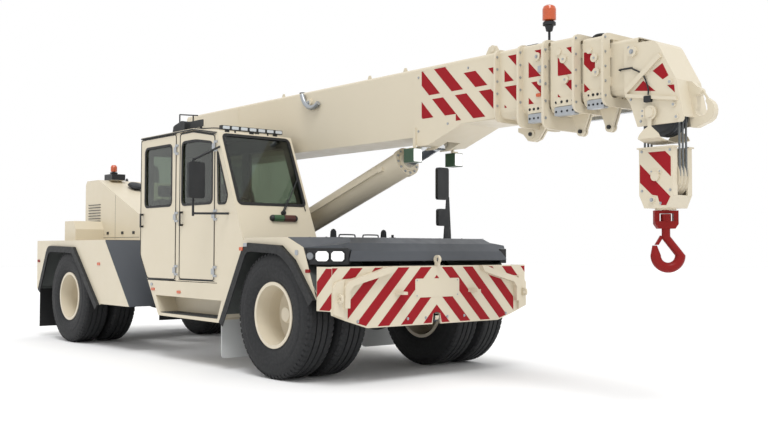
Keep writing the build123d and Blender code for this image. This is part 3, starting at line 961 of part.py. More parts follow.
yoke += rod((0, 0, YOKE_TOP - 5), (0, 0, BLOCK_Z[0] + 28), SWIVEL_STUD_R)
nut = rod((0, 0, YOKE_BAR_Z[1]), (0, 0, YOKE_BAR_Z[1] + 62), 44)
shank = rod((0, 0, YOKE_BAR_Z[0] + 5), (0, 0, 1490), 36)
hc_x, hc_z = HOOK_C
bowl_r = HOOK_BORE + HOOK_SECTION / 2
arc_face = Face(Wire.make_circle(HOOK_SECTION / 2, Plane(origin=(hc_x + bowl_r, 0, hc_z), z_dir=(0, 0, 1))))
bowl = revolve(arc_face, Axis((hc_x, 0, hc_z), (0, 1, 0)), 180)
neck_face = Face(Wire.make_circle(HOOK_SECTION / 2, Plane(origin=(hc_x + bowl_r, 0, hc_z), z_dir=(0, 0, 1))))
neck = loft([neck_face, Face(Wire.make_circle(36, Plane(origin=(0, 0, 1500), z_dir=(-0.35, 0, 1))))])
tip = loft([
    Face(Wire.make_circle(HOOK_SECTION / 2, Plane(origin=(hc_x - bowl_r, 0, hc_z), z_dir=(0, 0, 1)))),
    Face(Wire.make_circle(20, Plane(origin=(hc_x - bowl_r - 8, 0, hc_z + 85), z_dir=(0, 0, 1)))),
])
hook = yoke + nut + shank + bowl + neck + tip
latch = side([(-98, hc_z + 90), (-66, hc_z + 90), (-22, 1508), (-50, 1516)], -12, 12)
hook += latch
nodes["hook"] = Pos(bxc, 0, 0) * Rot(0, 0, HOOK_TURN) * hook

for name, shape in nodes.items():
    export_step(shape, "parts/" + name + ".step")
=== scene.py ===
"""Looks of the articulated mobile crane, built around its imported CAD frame.

Metres; +X forward, +Y left, +Z up."""

import json
import math

import bmesh
import bpy
from mathutils import Matrix, Vector


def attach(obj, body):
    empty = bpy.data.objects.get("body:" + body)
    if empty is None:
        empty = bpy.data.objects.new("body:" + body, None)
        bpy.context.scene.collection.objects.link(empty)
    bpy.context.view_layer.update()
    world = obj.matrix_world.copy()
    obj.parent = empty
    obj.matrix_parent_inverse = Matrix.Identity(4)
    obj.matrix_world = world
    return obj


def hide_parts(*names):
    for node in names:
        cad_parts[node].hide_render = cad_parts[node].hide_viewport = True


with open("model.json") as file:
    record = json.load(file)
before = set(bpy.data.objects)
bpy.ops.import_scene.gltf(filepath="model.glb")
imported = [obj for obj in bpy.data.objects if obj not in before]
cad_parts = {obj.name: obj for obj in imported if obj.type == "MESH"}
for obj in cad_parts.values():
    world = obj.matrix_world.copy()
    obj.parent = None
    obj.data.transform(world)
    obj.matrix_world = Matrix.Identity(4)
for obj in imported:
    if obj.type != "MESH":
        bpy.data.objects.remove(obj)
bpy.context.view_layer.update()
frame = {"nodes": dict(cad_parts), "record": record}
nodes = frame["nodes"]

X, Y, Z = 0, 1, 2
SIDES = (-1, 1)
TURN = 2 * math.pi


# ---- materials ----
def linear(r, g, b):
    """sRGB levels from 0 to 255, as linear numbers."""
    out = []
    for v in (r, g, b):
        v /= 255
        out.append(v / 12.92 if v <= 0.04045 else ((v + 0.055) / 1.055) ** 2.4)
    return out


def inside(x0=None, x1=None, y0=None, y1=None, z0=None, z1=None):
    """The half-spaces of an open or closed box: (normal, distance) where normal . point <= distance."""
    out = []
    for axis, low, high in ((X, x0, x1), (Y, y0, y1), (Z, z0, z1)):
        way = [0, 0, 0]
        if low is not None:
            way[axis] = -1
            out.append((tuple(way), -low))
        if high is not None:
            way[axis] = 1
            out.append((tuple(way), high))
    return out


def add_node(tree, kind, inputs, operation=None, data_type=None):
    """A new node; each input is given the output that feeds it, or a plain level."""
    new = tree.nodes.new("ShaderNode" + kind)
    if operation:
        new.operation = operation
    if data_type:
        new.data_type = data_type
    for key, value in inputs.items():
        if isinstance(value, bpy.types.NodeSocket):
            tree.links.new(value, new.inputs[key])
        else:
            new.inputs[key].default_value = value
    return new


def noise(tree, place, scale, detail):
    return add_node(tree, "TexNoise", {"Vector": place, "Scale": scale, "Detail": detail}).outputs["Fac"]


def clouded(tree, place, rgb, vary, size):
    """Two close tones of a colour in soft clouds."""
    dark, light = ([min(1, v * level) for v in linear(*rgb)] + [1] for level in (1 - vary, 1 + vary))
    inputs = {"Factor": noise(tree, place, size, 5), "A": dark, "B": light}
    return add_node(tree, "Mix", inputs, data_type="RGBA").outputs["Result"]


def folded(tree, place):
    """The place with y taken without its sign, so that both sides are painted alike."""
    split = add_node(tree, "SeparateXYZ", {0: place}).outputs
    size = add_node(tree, "Math", {0: split["Y"]}, operation="ABSOLUTE").outputs[0]
    return add_node(tree, "CombineXYZ", {"X": split["X"], "Y": size, "Z": split["Z"]}).outputs[0]


def painted(tree, place, spaces, rgb, under):
    """A colour over another one where the place is inside every half-space."""
    mask = None
    for way, far in spaces:
        dot = add_node(tree, "VectorMath", {0: place, 1: way}, operation="DOT_PRODUCT").outputs["Value"]
        less = add_node(tree, "Math", {0: dot, 1: far}, operation="LESS_THAN").outputs[0]
        if mask is None:
            mask = less
        else:
            mask = add_node(tree, "Math", {0: mask, 1: less}, operation="MULTIPLY").outputs[0]
    inputs = {"Factor": mask, "A": under, "B": linear(*rgb) + [1]}
    return add_node(tree, "Mix", inputs, data_type="RGBA").outputs["Result"]


def wandering(tree, place, size, rough, spread):
    """A roughness that wanders by spread either way, in patches finer than the colour's."""
    inputs = {
        "Value": noise(tree, place, size * 5, 3), "From Min": 0.3, "From Max": 0.7,
        "To Min": max(0, rough - spread), "To Max": min(1, rough + spread),
    }
    return add_node(tree, "MapRange", inputs).outputs["Result"]


def bumped(tree, place, grain, fineness):
    """A fine bump 2 mm deep at a grain of 1."""
    inputs = {"Height": noise(tree, place, fineness, 2), "Strength": grain, "Distance": 0.002}
    return add_node(tree, "Bump", inputs).outputs["Normal"]


def finish(name, rgb, rough, metal=0, vary=0.06, size=1.6, grain=0.02, fineness=260, coat=0,
           spread=0.08, glass=0, sheen=0, shine=0.5, glow=0, areas=(), even=False):
    """A node-based finish: two close tones in soft clouds, a roughness that wanders, and a fine bump.

    areas are (half-spaces, colour) in the object's own place; with even, y is taken without its sign."""
    mat = bpy.data.materials.new(name)
    mat.use_nodes = True
    tree = mat.node_tree
    shader = tree.nodes["Principled BSDF"]
    place = add_node(tree, "TexCoord", {}).outputs["Object"]
    colour = clouded(tree, place, rgb, vary, size)
    area_place = folded(tree, place) if even else place
    for spaces, paint in areas:
        colour = painted(tree, area_place, spaces, paint, colour)
    tree.links.new(colour, shader.inputs["Base Color"])
    tree.links.new(wandering(tree, place, size, rough, spread), shader.inputs["Roughness"])
    if grain:
        tree.links.new(bumped(tree, place, grain, fineness), shader.inputs["Normal"])
    levels = {
        "Metallic": metal, "Coat Weight": coat, "Coat Roughness": 0.08, "Transmission Weight": glass,
        "Sheen Weight": sheen, "Specular IOR Level": shine, "Emission Strength": glow,
        "Emission Color": (1, 1, 1, 1),
    }
    for key, level in levels.items():
        shader.inputs[key].default_value = level
    return mat


PAINT, SLATE, BLACK = (213, 203, 181), (64, 68, 74), (24, 25, 27)
# the dark grey beside silver is the inner lining of the cab and doors, and also painted shade on the backs of
# skirts and in wells
SILVER, LINING_AND_SHADE, SOOT = (168, 172, 176), (88, 92, 90), (21, 22, 23)
cream = dict(rough=0.42, vary=0.022, coat=0.08, shine=0.4)
CREAM = finish("cream_paint", PAINT, **cream)
GREY = finish("grey_paint", SLATE, 0.42, vary=0.05, coat=0.12)
RIM = finish("rim_paint", (214, 204, 183), 0.46, vary=0.04)
RED = finish("red_paint", (132, 24, 22), 0.42, vary=0.08, shine=0.18)
DECAL = finish("red_stripe", (150, 28, 36), 0.55, vary=0.04, size=4, grain=0.01, shine=0.12)
DARK = finish("dark_metal", (36, 38, 41), 0.5, metal=0.3, vary=0.15, grain=0.06)
TYRE = finish("tyre_rubber", (25, 26, 28), 0.74, vary=0.18, size=6, grain=0.12, fineness=140)
RUBBER = finish("rubber", SOOT, 0.62, vary=0.15, size=5, grain=0.1, fineness=180)
GLASS = finish("window_glass", (150, 162, 148), 0.03, vary=0.02, shine=0.3, grain=0, spread=0.01, glass=1)
FABRIC = finish("seat_fabric", (34, 36, 40), 0.9, vary=0.25, size=40, grain=0.35, fineness=900, sheen=0.3)
PLASTIC = finish("cab_plastic", (32, 34, 36), 0.6, vary=0.08, grain=0.08, fineness=500)
LENS = finish("lamp_lens", (206, 212, 216), 0.12, vary=0.03, grain=0.02, fineness=90, coat=0.8)
SMOKED = finish("smoked_lens", (120, 124, 128), 0.14, vary=0.1, size=30, coat=0.8)
AMBER = finish("amber_lens", (196, 84, 36), 0.24, vary=0.06, size=20, grain=0.05, fineness=120, coat=0.5)
BRIGHT = finish("lit_lens", (250, 250, 248), 0.2, vary=0.01, grain=0, coat=0.5, glow=0.35)
MIRROR = finish("mirror_glass", (196, 200, 204), 0.04, metal=1, vary=0.02, grain=0, spread=0.01)
CHROME = finish("rod_chrome", (206, 208, 210), 0.14, metal=1, vary=0.03, grain=0, spread=0.04)
STEEL = finish("rope_steel", (124, 128, 130), 0.5, metal=0.35, vary=0.2, size=60, grain=0.1)
ZINC = finish("zinc_fitting", SILVER, 0.36, metal=0.7, vary=0.12, size=30, grain=0.05)
TREAD = finish("tread_plate", (58, 61, 64), 0.5, metal=0.4, vary=0.12, size=20, grain=0.3, fineness=60)

# CAD nodes that carry a second finish on some of their areas
ROOF_LINING = ((0.1586, 0, 0.9873), 2.7021)
SCREEN_LINING = ((0.9136, 0, 0.4066), 1.0631)
DOOR_LINING, HARDWARE = -1.4095, -1.4515  # y of the linings' outer face, and of the hinges' inner one
SKIRT_BACK = 1.4425
CABIN = finish("cab_paint", PAINT, areas=[
    (inside(x0=-1.985, y0=-1.426, y1=-0.445, z1=2.832) + [ROOF_LINING, SCREEN_LINING], LINING_AND_SHADE),
    (inside(y1=HARDWARE), SILVER),
], **cream)


def door_finish(name, hinge_x, handle_x):
    """A door: lined inside, with bright hinges ahead of hinge_x and a black handle behind handle_x."""
    return finish(name, PAINT, areas=[
        (inside(y0=DOOR_LINING), LINING_AND_SHADE),
        (inside(y1=HARDWARE, x0=hinge_x), SILVER),
        (inside(y1=HARDWARE, x1=handle_x), BLACK),
    ], **cream)


# painted shade, dark on the backs of the skirts and in the well between the frames, and grey paint ahead of a
# sloping line
REAR_BODY = finish("rear_body_paint_and_shade", PAINT, even=True, areas=[
    (inside(x0=-5.52, x1=-3.2, y1=SKIRT_BACK, z1=1.512), LINING_AND_SHADE),
    ([((-0.7553, 0, -0.6553), 1.3485)] + inside(x0=-3.2, z1=1.53), (76, 80, 86)),
    (inside(y1=0.7595, x1=-3.05, x0=-3.7, z1=1.51), LINING_AND_SHADE),
], **cream)
# painted shade: the faces inward of the outer skin are dark ahead of x 0.085 and above z 0.815
FRONT_SIDES = finish("front_side_paint_and_shade", PAINT, even=True, areas=[
    (inside(x0=0.085, y1=SKIRT_BACK), LINING_AND_SHADE),
    (inside(y1=SKIRT_BACK, z0=0.815), LINING_AND_SHADE),
], **cream)
BUMPER = finish("bumper_paint", PAINT, even=True, areas=[
    (inside(y1=0.031, z1=0.8, x1=2.14), SLATE),
], **cream)
GUARDS = finish("guard_rubber", SOOT, 0.62, vary=0.12, size=5, grain=0.1, fineness=180, areas=[
    (inside(x0=-0.2, x1=0.043, z1=0.65), (204, 206, 205)),
])
# the capsule lamp has a green and a red stretch
LAMPS = finish("lamp_housing", (26, 27, 29), 0.4, vary=0.1, areas=[
    (inside(x1=1.2, y0=-0.985, y1=-0.85), (58, 92, 62)),
    (inside(x1=1.2, y0=-0.84, y1=-0.69), (84, 46, 42)),
])

WORK_LIGHTS = finish("work_light_paint", PAINT, areas=[(inside(z1=2.4685), (46, 74, 52))], **cream)
ENGINE_HOOD = finish("engine_hood_paint", PAINT, areas=[(inside(z0=2.503), BLACK)], **cream)

BY_SLOT = dict(
    cream_paint=CREAM, grey_paint=GREY, rim_paint=RIM, red_paint=RED, dark_metal=DARK, tyre_rubber=TYRE,
    rubber=RUBBER, window_glass=GLASS, seat_fabric=FABRIC, cab_plastic=PLASTIC, lamp_lens=LENS,
    amber_lens=AMBER, rod_chrome=CHROME, rope_steel=STEEL,
)
BY_NODE = dict(
    cab_shell=CABIN, door_front=door_finish("front_door_paint", -0.3, -0.5),
    door_rear=door_finish("rear_door_paint", -1.25, -1.5), rear_body=REAR_BODY, front_panels=FRONT_SIDES,
    front_bumper=BUMPER, front_guards=GUARDS, head_lamps=LAMPS, work_lights=WORK_LIGHTS,
    engine_hood=ENGINE_HOOD,
)
for part in frame["record"]["subparts"]:
    mesh = nodes[part["node"]].data
    mesh.materials.clear()
    mesh.materials.append(BY_NODE.get(part["node"], BY_SLOT[part["material_slot"]]))


# ---- outlines and meshes ----
def rect(x0, x1, y0, y1):
    return [(x0, y0), (x1, y0), (x1, y1), (x0, y1)]


def about(x, y, half_x, half_y):
    """The limits of a rectangle about its middle, as rect takes them."""
    return x - half_x, x + half_x, y - half_y, y + half_y


def grown(points, d):
    """The outline moved outwards by d."""
    n = len(points)
    area = sum(a[0] * b[1] - b[0] * a[1] for a, b in zip(points, points[1:] + points[:1]))
    turn = 1 if area > 0 else -1
    out = []
    for i in range(n):
        a, b, c = points[i - 1], points[i], points[(i + 1) % n]
        u = Vector((b[0] - a[0], b[1] - a[1])).normalized()
        v = Vector((c[0] - b[0], c[1] - b[1])).normalized()
        m = Vector((u.y + v.y, -u.x - v.x)) * turn
        k = d / max(0.3, 1 + u.dot(v))
        out.append((b[0] + m.x * k, b[1] + m.y * k))
    return out


def eased(points, size, steps=4):
    """The outline with its corners rounded, or with one step cut straight."""
    out = []
    n = len(points)
    for i, p in enumerate(points):
        ends = []
        for q in (points[i - 1], points[(i + 1) % n]):
            length = math.dist(p, q)
            k = min(size, 0.45 * length) / length
            ends.append((p[0] + (q[0] - p[0]) * k, p[1] + (q[1] - p[1]) * k))
        for j in range(steps + 1):
            t = j / steps
            a, b, c = (1 - t) ** 2, 2 * t * (1 - t), t * t
            out.append(tuple(a * ends[0][k] + b * p[k] + c * ends[1][k] for k in (0, 1)))
    return out


def clip(outline, sign, limit):
    """The part of a convex outline where sign * (x + y) <= limit."""
    out = []
    for i, p in enumerate(outline):
        q = outline[(i + 1) % len(outline)]
        past_p, past_q = sign * (p[0] + p[1]) - limit, sign * (q[0] + q[1]) - limit
        if past_p <= 0:
            out.append(p)
        if past_p * past_q < 0:
            t = past_p / (past_p - past_q)
            out.append((p[0] + (q[0] - p[0]) * t, p[1] + (q[1] - p[1]) * t))
    return out


def basis(origin, u, v):
    """A place whose own X and Y run along u and v."""
    u, v = Vector(u).normalized(), Vector(v).normalized()
    columns = (u, v, u.cross(v), Vector(origin))
    return Matrix([[column[row] for column in columns] for row in (X, Y, Z)] + [(0, 0, 0, 1)])


def circle(centre, u, v, r, n):
    """Points round a centre, in the plane of u and v."""
    return [centre + r * (math.cos(TURN * i / n) * u + math.sin(TURN * i / n) * v) for i in range(n)]


def tube_faces(rings, n):
    """The faces over a row of rings with n points each, closed at both ends."""
    faces = [list(range(n)), [(rings - 1) * n + k for k in range(n)]]
    for i in range(rings - 1):
        here, there = i * n, (i + 1) * n
        faces += [[here + k, here + (k + 1) % n, there + (k + 1) % n, there + k] for k in range(n)]
    return faces


class Kit:
    """Collects shapes into one mesh; place is a matrix that later shapes are put through."""

    def __init__(self):
        self.points, self.faces = [], []
        self.place = Matrix.Identity(4)

    def add(self, points, faces):
        start = len(self.points)
        self.points += [tuple(self.place @ Vector(p)) for p in points]
        self.faces += [[start + i for i in f] for f in faces]

    def loop(self, outlines, axis, levels, caps=False):
        """Outlines joined in order, each at its own level along an axis.

        Without caps the last one joins the first."""
        across, along = [a for a in (X, Y, Z) if a != axis]
        n, m = len(outlines[0]), len(outlines)
        points = []
        for outline, level in zip(outlines, levels):
            for p in outline:
                q = [0, 0, 0]
                q[across], q[along], q[axis] = p[0], p[1], level
                points.append(q)
        faces = [list(range(n)), [(m - 1) * n + i for i in range(n)]] if caps else []
        for k in range(m - 1 if caps else m):
            here, there = k * n, (k + 1) % m * n
            faces += [[here + i, here + (i + 1) % n, there + (i + 1) % n, there + i] for i in range(n)]
        self.add(points, faces)

    def prism(self, outline, axis, low, high):
        """An outline in the other two axes, in their order, drawn from low to high along an axis."""
        self.loop([outline, outline], axis, [low, high], caps=True)

    def slab(self, limits, ease, axis, low, high):
        """A rectangle with rounded corners, drawn from low to high along an axis."""
        self.prism(eased(rect(*limits), ease), axis, low, high)

    def ring(self, outline, out, inn, axis, low, high):
        """A flat band that follows an outline, from out outside it to inn inside it."""
        a, b = grown(outline, out), grown(outline, -inn)
        self.loop([a, a, b, b], axis, [low, high, high, low])

    def box(self, x0, x1, y0, y1, z0, z1):
        self.prism(rect(x0, x1, y0, y1), Z, z0, z1)

    def rod(self, p, q, r, n=16):
        """A round bar from p to q."""
        p, q = Vector(p), Vector(q)
        w = (q - p).normalized()
        u = w.orthogonal().normalized()
        v = w.cross(u)
        self.add(circle(p, u, v, r, n) + circle(q, u, v, r, n), tube_faces(2, n))

    def pin(self, x, z, y0, y1, r, n=16):
        """A round bar across the crane."""
        self.rod((x, y0, z), (x, y1, z), r, n)

    def post(self, x, y, z0, z1, r, n=16):
        """An upright round bar."""
        self.rod((x, y, z0), (x, y, z1), r, n)

    def hose(self, path, r, n=10, steps=8):
        """A tube along a smooth line through the points."""
        pts = [Vector(p) for p in path]
        line = []
        for i in range(len(pts) - 1):
            a, b, c, d = pts[max(i - 1, 0)], pts[i], pts[i + 1], pts[min(i + 2, len(pts) - 1)]
            for j in range(steps):
                t = j / steps
                square, cube = (2 * a - 5 * b + 4 * c - d) * t * t, (3 * b - a - 3 * c + d) * t ** 3
                line.append(0.5 * (2 * b + (c - a) * t + square + cube))
        line.append(pts[-1])
        points, u = [], None
        for i, c in enumerate(line):
            w = (line[min(i + 1, len(line) - 1)] - line[max(i - 1, 0)]).normalized()
            u = w.orthogonal().normalized() if u is None else (u - w * u.dot(w)).normalized()
            points += circle(c, u, w.cross(u), r, n)
        self.add(points, tube_faces(len(line), n))

    def lathe(self, profile, at, axis, n=48):
        """A profile of (radius, offset along the axis) turned about the axis through a point.

        A profile that starts on the axis ends on it too; any other one is closed."""
        w = Vector(axis).normalized()
        u = w.orthogonal().normalized()
        v = w.cross(u)
        at = Vector(at)
        m = len(profile)
        points, faces = [], []
        for i in range(n):
            a = TURN * i / n
            way = math.cos(a) * u + math.sin(a) * v
            points += [at + way * r + w * s for r, s in profile]
            here, there = i * m, (i + 1) % n * m
            for j in range(m if profile[0][0] else m - 1):
                k = (j + 1) % m
                faces.append([here + j, there + j, there + k, here + k])
        self.add(points, faces)

    def bolt(self, at, way, r, height):
        """A hexagon head with a washer, standing on a face."""
        at, way = Vector(at), Vector(way).normalized()
        self.rod(at - way * 0.002, at + way * height * 0.25, r * 1.35, n=14)
        self.rod(at + way * height * 0.2, at + way * height, r, n=6)

    def side_bolts(self, spots, y, r, height):
        """Bolts at each (x, z) on both sides at y."""
        for x, z in spots:
            for s in SIDES:
                self.bolt((x, s * y, z), (0, s, 0), r, height)

    def done(self, name, body, slot, material, smooth=30):
        """Makes the piece: it rides its body, and edges sharper than smooth degrees stay sharp."""
        mesh = bpy.data.meshes.new(name)
        mesh.from_pydata(self.points, [], self.faces)
        mesh.validate()
        work = bmesh.new()
        work.from_mesh(mesh)
        bmesh.ops.recalc_face_normals(work, faces=work.faces)
        work.to_mesh(mesh)
        work.free()
        mesh.update()
        mesh.materials.append(material)
        mesh.polygons.foreach_set("use_smooth", [smooth > 0] * len(mesh.polygons))
        if smooth > 0:
            mesh.set_sharp_from_angle(angle=math.radians(smooth))
        obj = bpy.data.objects.new(name, mesh)
        bpy.context.scene.collection.objects.link(obj)
        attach(obj, body)
        return obj


# ---- stripes ----
FOIL, SUNK = 0.0012, 0.0002  # how far a foil stands out of the paint, and how far it goes into it
BOOM_BANDS = (5.689, 0.342, 0.167, range(-8, 9))  # start on x + z, pitch, width and steps
BUMPER_X, BUMPER_CORNER = 2.141, 1.43
BUMPER_START, BUMPER_PITCH, BUMPER_BAND = 0.64, 0.32, 0.157
BUMPER_FACE = [
    [(0, 0.718), (0.052, 0.7), (0.075, 0.6), (0.96, 0.6), (1.23, 0.678), (1.23, 0.968),
     (1.187, 1.018), (0.878, 1.092), (0.7, 1.14), (0.655, 1.203), (0, 1.203)],
    [(0.765, 1.203), (0.905, 1.163), (1.19, 1.097), (1.29, 1.092), (1.428, 1.092), (1.428, 1.203)],
]
BUMPER_WING = rect(0.004, 0.224, 0.778, 1.198)


def both_sides(kit, outline, y, thick=FOIL):
    """A foil or plate on both faces at y."""
    kit.prism(outline, Y, -y - thick, -y + SUNK)
    kit.prism(outline, Y, y - SUNK, y + thick)


def bands(panel, start, pitch, width, steps):
    """Diagonal bands cut to a convex panel, where its two coordinates add up to a stretch of width."""
    for k in steps:
        low = start + pitch * k
        band = clip(clip(panel, 1, low + width), -1, -low)
        if len(band) > 2:
            yield band


# by body and by the half width of a face: the panels (x0, x1, z0, z1) on it
STRIPED_PANELS = {
    "boom": {
        0.278: ((2.2, 2.7, 3.03, 3.297), (2.7, 3.29, 3.03, 3.196),
                (2.2, 2.72, 2.788, 2.983), (2.72, 3.29, 2.717, 2.983)),
        0.27: ((3.39, 3.585, 3.03, 3.281), (3.39, 3.585, 2.776, 2.983),
               (3.7, 3.9, 3.03, 3.281), (3.7, 3.9, 2.776, 2.983)),
    },
    "section_2": {0.263: ((4.049, 4.225, 3, 3.25), (4.049, 4.225, 2.799, 2.945))},
    "section_3": {0.23: ((4.326, 4.448, 2.997, 3.18), (4.326, 4.448, 2.819, 2.9))},
}
for body, faces in STRIPED_PANELS.items():
    kit = Kit()
    for y, panels in faces.items():
        for limits in panels:
            for band in bands(rect(*limits), *BOOM_BANDS):
                both_sides(kit, band, y)
    kit.done("stripes_" + body, body, "red_paint", DECAL, smooth=0)

# marks of their own outline, by piece: its body, the face's half width and the outlines
MARKS = {
    "head": ("section_4", 0.19, (
        [(4.838, 2.772), (5.05, 2.745), (4.928, 2.85)],
        [(5.023, 2.921), (5.122, 2.835), (5.178, 2.862), (5.12, 2.975)],
        [(5.165, 2.78), (5.238, 2.71), (5.232, 2.778)],
    )),
    "block": ("block", 0.144, (
        [(4.938, 2.231), (5.163, 2.012), (5.163, 2.18), (5.109, 2.231)],
        [(4.856, 2.134), (4.855, 1.975), (4.976, 1.865), (5.033, 1.853),
         (5.044, 1.813), (5.066, 1.773), (5.116, 1.771), (5.156, 1.843)],
    )),
}
for name, (body, y, outlines) in MARKS.items():
    kit = Kit()
    for outline in outlines:
        both_sides(kit, outline, y)
    kit.done("stripes_" + name, body, "red_paint", DECAL, smooth=0)

# bumper: bands that climb to the middle, on |y| + z, over the face and the wings
kit = Kit()
for panel in BUMPER_FACE:
    for band in bands(panel, BUMPER_START, BUMPER_PITCH, BUMPER_BAND, range(9)):
        for s in SIDES:
            kit.prism([(s * y, z) for y, z in band], X, BUMPER_X - SUNK, BUMPER_X + FOIL)
for s in SIDES:
    # the wings lean back along the sides; a band goes on as the face's would
    kit.place = basis((BUMPER_X, s * BUMPER_CORNER, 0), (-0.227, s * 0.02, 0), (0, 0, 1))
    for band in bands(BUMPER_WING, BUMPER_START - BUMPER_CORNER, BUMPER_PITCH, BUMPER_BAND, range(9)):
        kit.prism(band, Z, -SUNK if s < 0 else -FOIL, FOIL if s < 0 else SUNK)
kit.done("stripes_bumper", "front_chassis", "red_paint", DECAL, smooth=0)

# a blank plate on the bumper
kit = Kit()
kit.slab((-0.316, 0.341, 0.878, 1.08), 0.02, X, BUMPER_X + 0.0006, BUMPER_X + 0.0032)
kit.done("bumper_plate", "front_chassis", "cream_paint", CREAM, smooth=0)
kit = Kit()
for y in (-0.29, 0.315):
    for z in (0.898, 1.06):
        kit.bolt((BUMPER_X + 0.0025, y, z), (1, 0, 0), 0.007, 0.006)
for s in SIDES:
    for y in (0.16, 0.42, 1.1):
        kit.bolt((BUMPER_X, s * y, 0.66), (1, 0, 0), 0.012, 0.009)
kit.done("bumper_bolts", "front_chassis", "dark_metal", ZINC)

# ---- tyres and wheel nuts ----
TYRE_R, TYRE_HALF, BEAD, BARREL_HALF = 0.685, 0.1875, 0.339, 0.15
TREAD_R = TYRE_R - 0.004
GROOVES, GROOVE_R = (-0.072, 0, 0.072), TREAD_R - 0.016
LUGS, LUG_HALF = 64, 0.021
NUTS, NUT_CIRCLE = 10, 0.186
DUAL_Y, DUAL_PITCH = 1.0675, 0.43
AXLES, ENDS = (("front", 1.115), ("rear", -4.345)), (("_right", -1), ("_left", 1))
WHEELS = [(axle + end, x, s) for axle, x in AXLES for end, s in ENDS]


def tyre_body(kit, centre):
    """The carcass: bead, sidewall with its rings, shoulder and grooved crown."""
    rim, wide = BARREL_HALF, TYRE_HALF
    half = [
        (BEAD, -rim + 0.012), (BEAD + 0.012, -rim - 0.001), (BEAD + 0.04, -rim - 0.005),
        (BEAD + 0.052, -rim - 0.014), (0.42, -0.176), (0.47, -0.184), (0.505, -wide + 0.0005),
        (0.512, -wide), (0.54, -wide + 0.0005), (0.546, -wide + 0.004), (0.59, -0.184), (0.622, -0.176),
        (0.652, -0.16), (0.668, -0.149), (TREAD_R - 0.002, -0.139),
    ]
    crown = []
    for middle in GROOVES:
        for r, off in ((TREAD_R, -0.009), (GROOVE_R, -0.005), (GROOVE_R, 0.005), (TREAD_R, 0.009)):
            crown.append((r, middle + off))
    other = [(r, -off) for r, off in reversed(half)]
    kit.lathe(half + crown + other, centre, (0, 1, 0), n=96)


def shoulder_lugs(kit, centre, spin):
    """A ring of tread blocks on each shoulder, turned by a quarter of their pitch times spin."""
    section = [
        (TREAD_R - 0.01, 0.088), (TYRE_R - 0.0008, 0.088), (TYRE_R - 0.002, 0.136),
        (0.664, 0.164), (0.64, 0.17), (0.64, 0.088),
    ]
    for i in range(LUGS):
        a = TURN * (i + 0.25 * spin) / LUGS
        out = Vector((math.cos(a), 0, math.sin(a)))
        round_way = Vector((-math.sin(a), 0, math.cos(a)))
        for s in SIDES:
            points = []
            for end in (-LUG_HALF, LUG_HALF):
                points += [centre + out * r + Vector((0, s * off, 0)) + round_way * end for r, off in section]
            kit.add(points, tube_faces(2, len(section)))


for name, x, side in WHEELS:
    kit = Kit()
    for k in (-1, 1):
        centre = Vector((x, side * (DUAL_Y + k * DUAL_PITCH / 2), TYRE_R))
        tyre_body(kit, centre)
        shoulder_lugs(kit, centre, k)
    tyres = kit.done("treaded_tyres_" + name, name + "_wheels", "tyre_rubber", TYRE)
    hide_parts("tyres_" + name)
    kit = Kit()
    for i in range(NUTS):
        a = TURN * (i + 0.5) / NUTS
        nut_x, nut_z = x + NUT_CIRCLE * math.cos(a), TYRE_R + NUT_CIRCLE * math.sin(a)
        foot = side * (DUAL_Y + 0.016)
        kit.pin(nut_x, nut_z, foot - side * 0.004, foot + side * 0.016, 0.0165, n=6)
        kit.pin(nut_x, nut_z, foot + side * 0.01, foot + side * 0.026, 0.0095, n=10)
    kit.done("wheel_nuts_" + name, name + "_wheels", "rim_paint", RIM)

# ---- windows and doors ----
PANE_CORNER = 0.07
SCREEN = basis((0.525, 0, 1.494), (0, 1, 0), (-0.4066, 0, 0.9136))
QUARTER = [(-0.044, 2.535), (0.184, 2.012), (0.144, 1.923), (-0.022, 1.922)]
INNER_PANES = (
    rect(-1.86, -1.08, 1.95, 2.65),
    [(-0.94, 1.95), (0.16, 1.95), (-0.14, 2.64), (-0.94, 2.64)],
)
kit = Kit()
kit.place = SCREEN
kit.ring(eased(rect(-1.388, -0.475, 0.462, 1.355), 0.05), 0.022, 0.014, Z, -0.01, 0.005)
kit.place = Matrix.Identity(4)
kit.ring(eased(QUARTER, 0.034), 0.014, 0.01, Y, -1.455, -1.4495)
for outline in INNER_PANES:
    kit.ring(eased(outline, PANE_CORNER), 0.02, 0.012, Y, -0.4205, -0.415)
kit.place = basis((-2.01, 0, 0), (0, -1, 0), (0, 0, 1))
kit.ring(eased(rect(0.58, 1.29, 1.96, 2.64), PANE_CORNER), 0.02, 0.012, Z, -0.0005, 0.006)
kit.done("window_seals", "front_chassis", "rubber", RUBBER)

# by door: its window, and the gap round its edge
DOORS = {
    "front": ([(-0.896, 1.936), (-0.163, 1.936), (-0.163, 2.65), (-0.56, 2.705), (-0.896, 2.705)],
              [(-0.952, 1.018), (-0.103, 1.018), (-0.103, 2.737), (-0.621, 2.823), (-0.952, 2.82)]),
    "rear": (rect(-1.881, -1.16, 1.939, 2.7),
             [(-1.799, 1.008), (-1.043, 1.008), (-1.043, 2.828), (-2.006, 2.828),
              (-2.006, 1.32), (-1.99, 1.287)]),
}
for name, (window, edge) in DOORS.items():
    kit = Kit()
    kit.ring(eased(window, PANE_CORNER), 0.016, 0.014, Y, -1.4535, -1.4415)
    kit.ring(eased(edge, 0.05), 0.001, 0.014, Y, -1.453, -1.4495)
    kit.done("door_seal_" + name, name + "_door", "rubber", RUBBER)

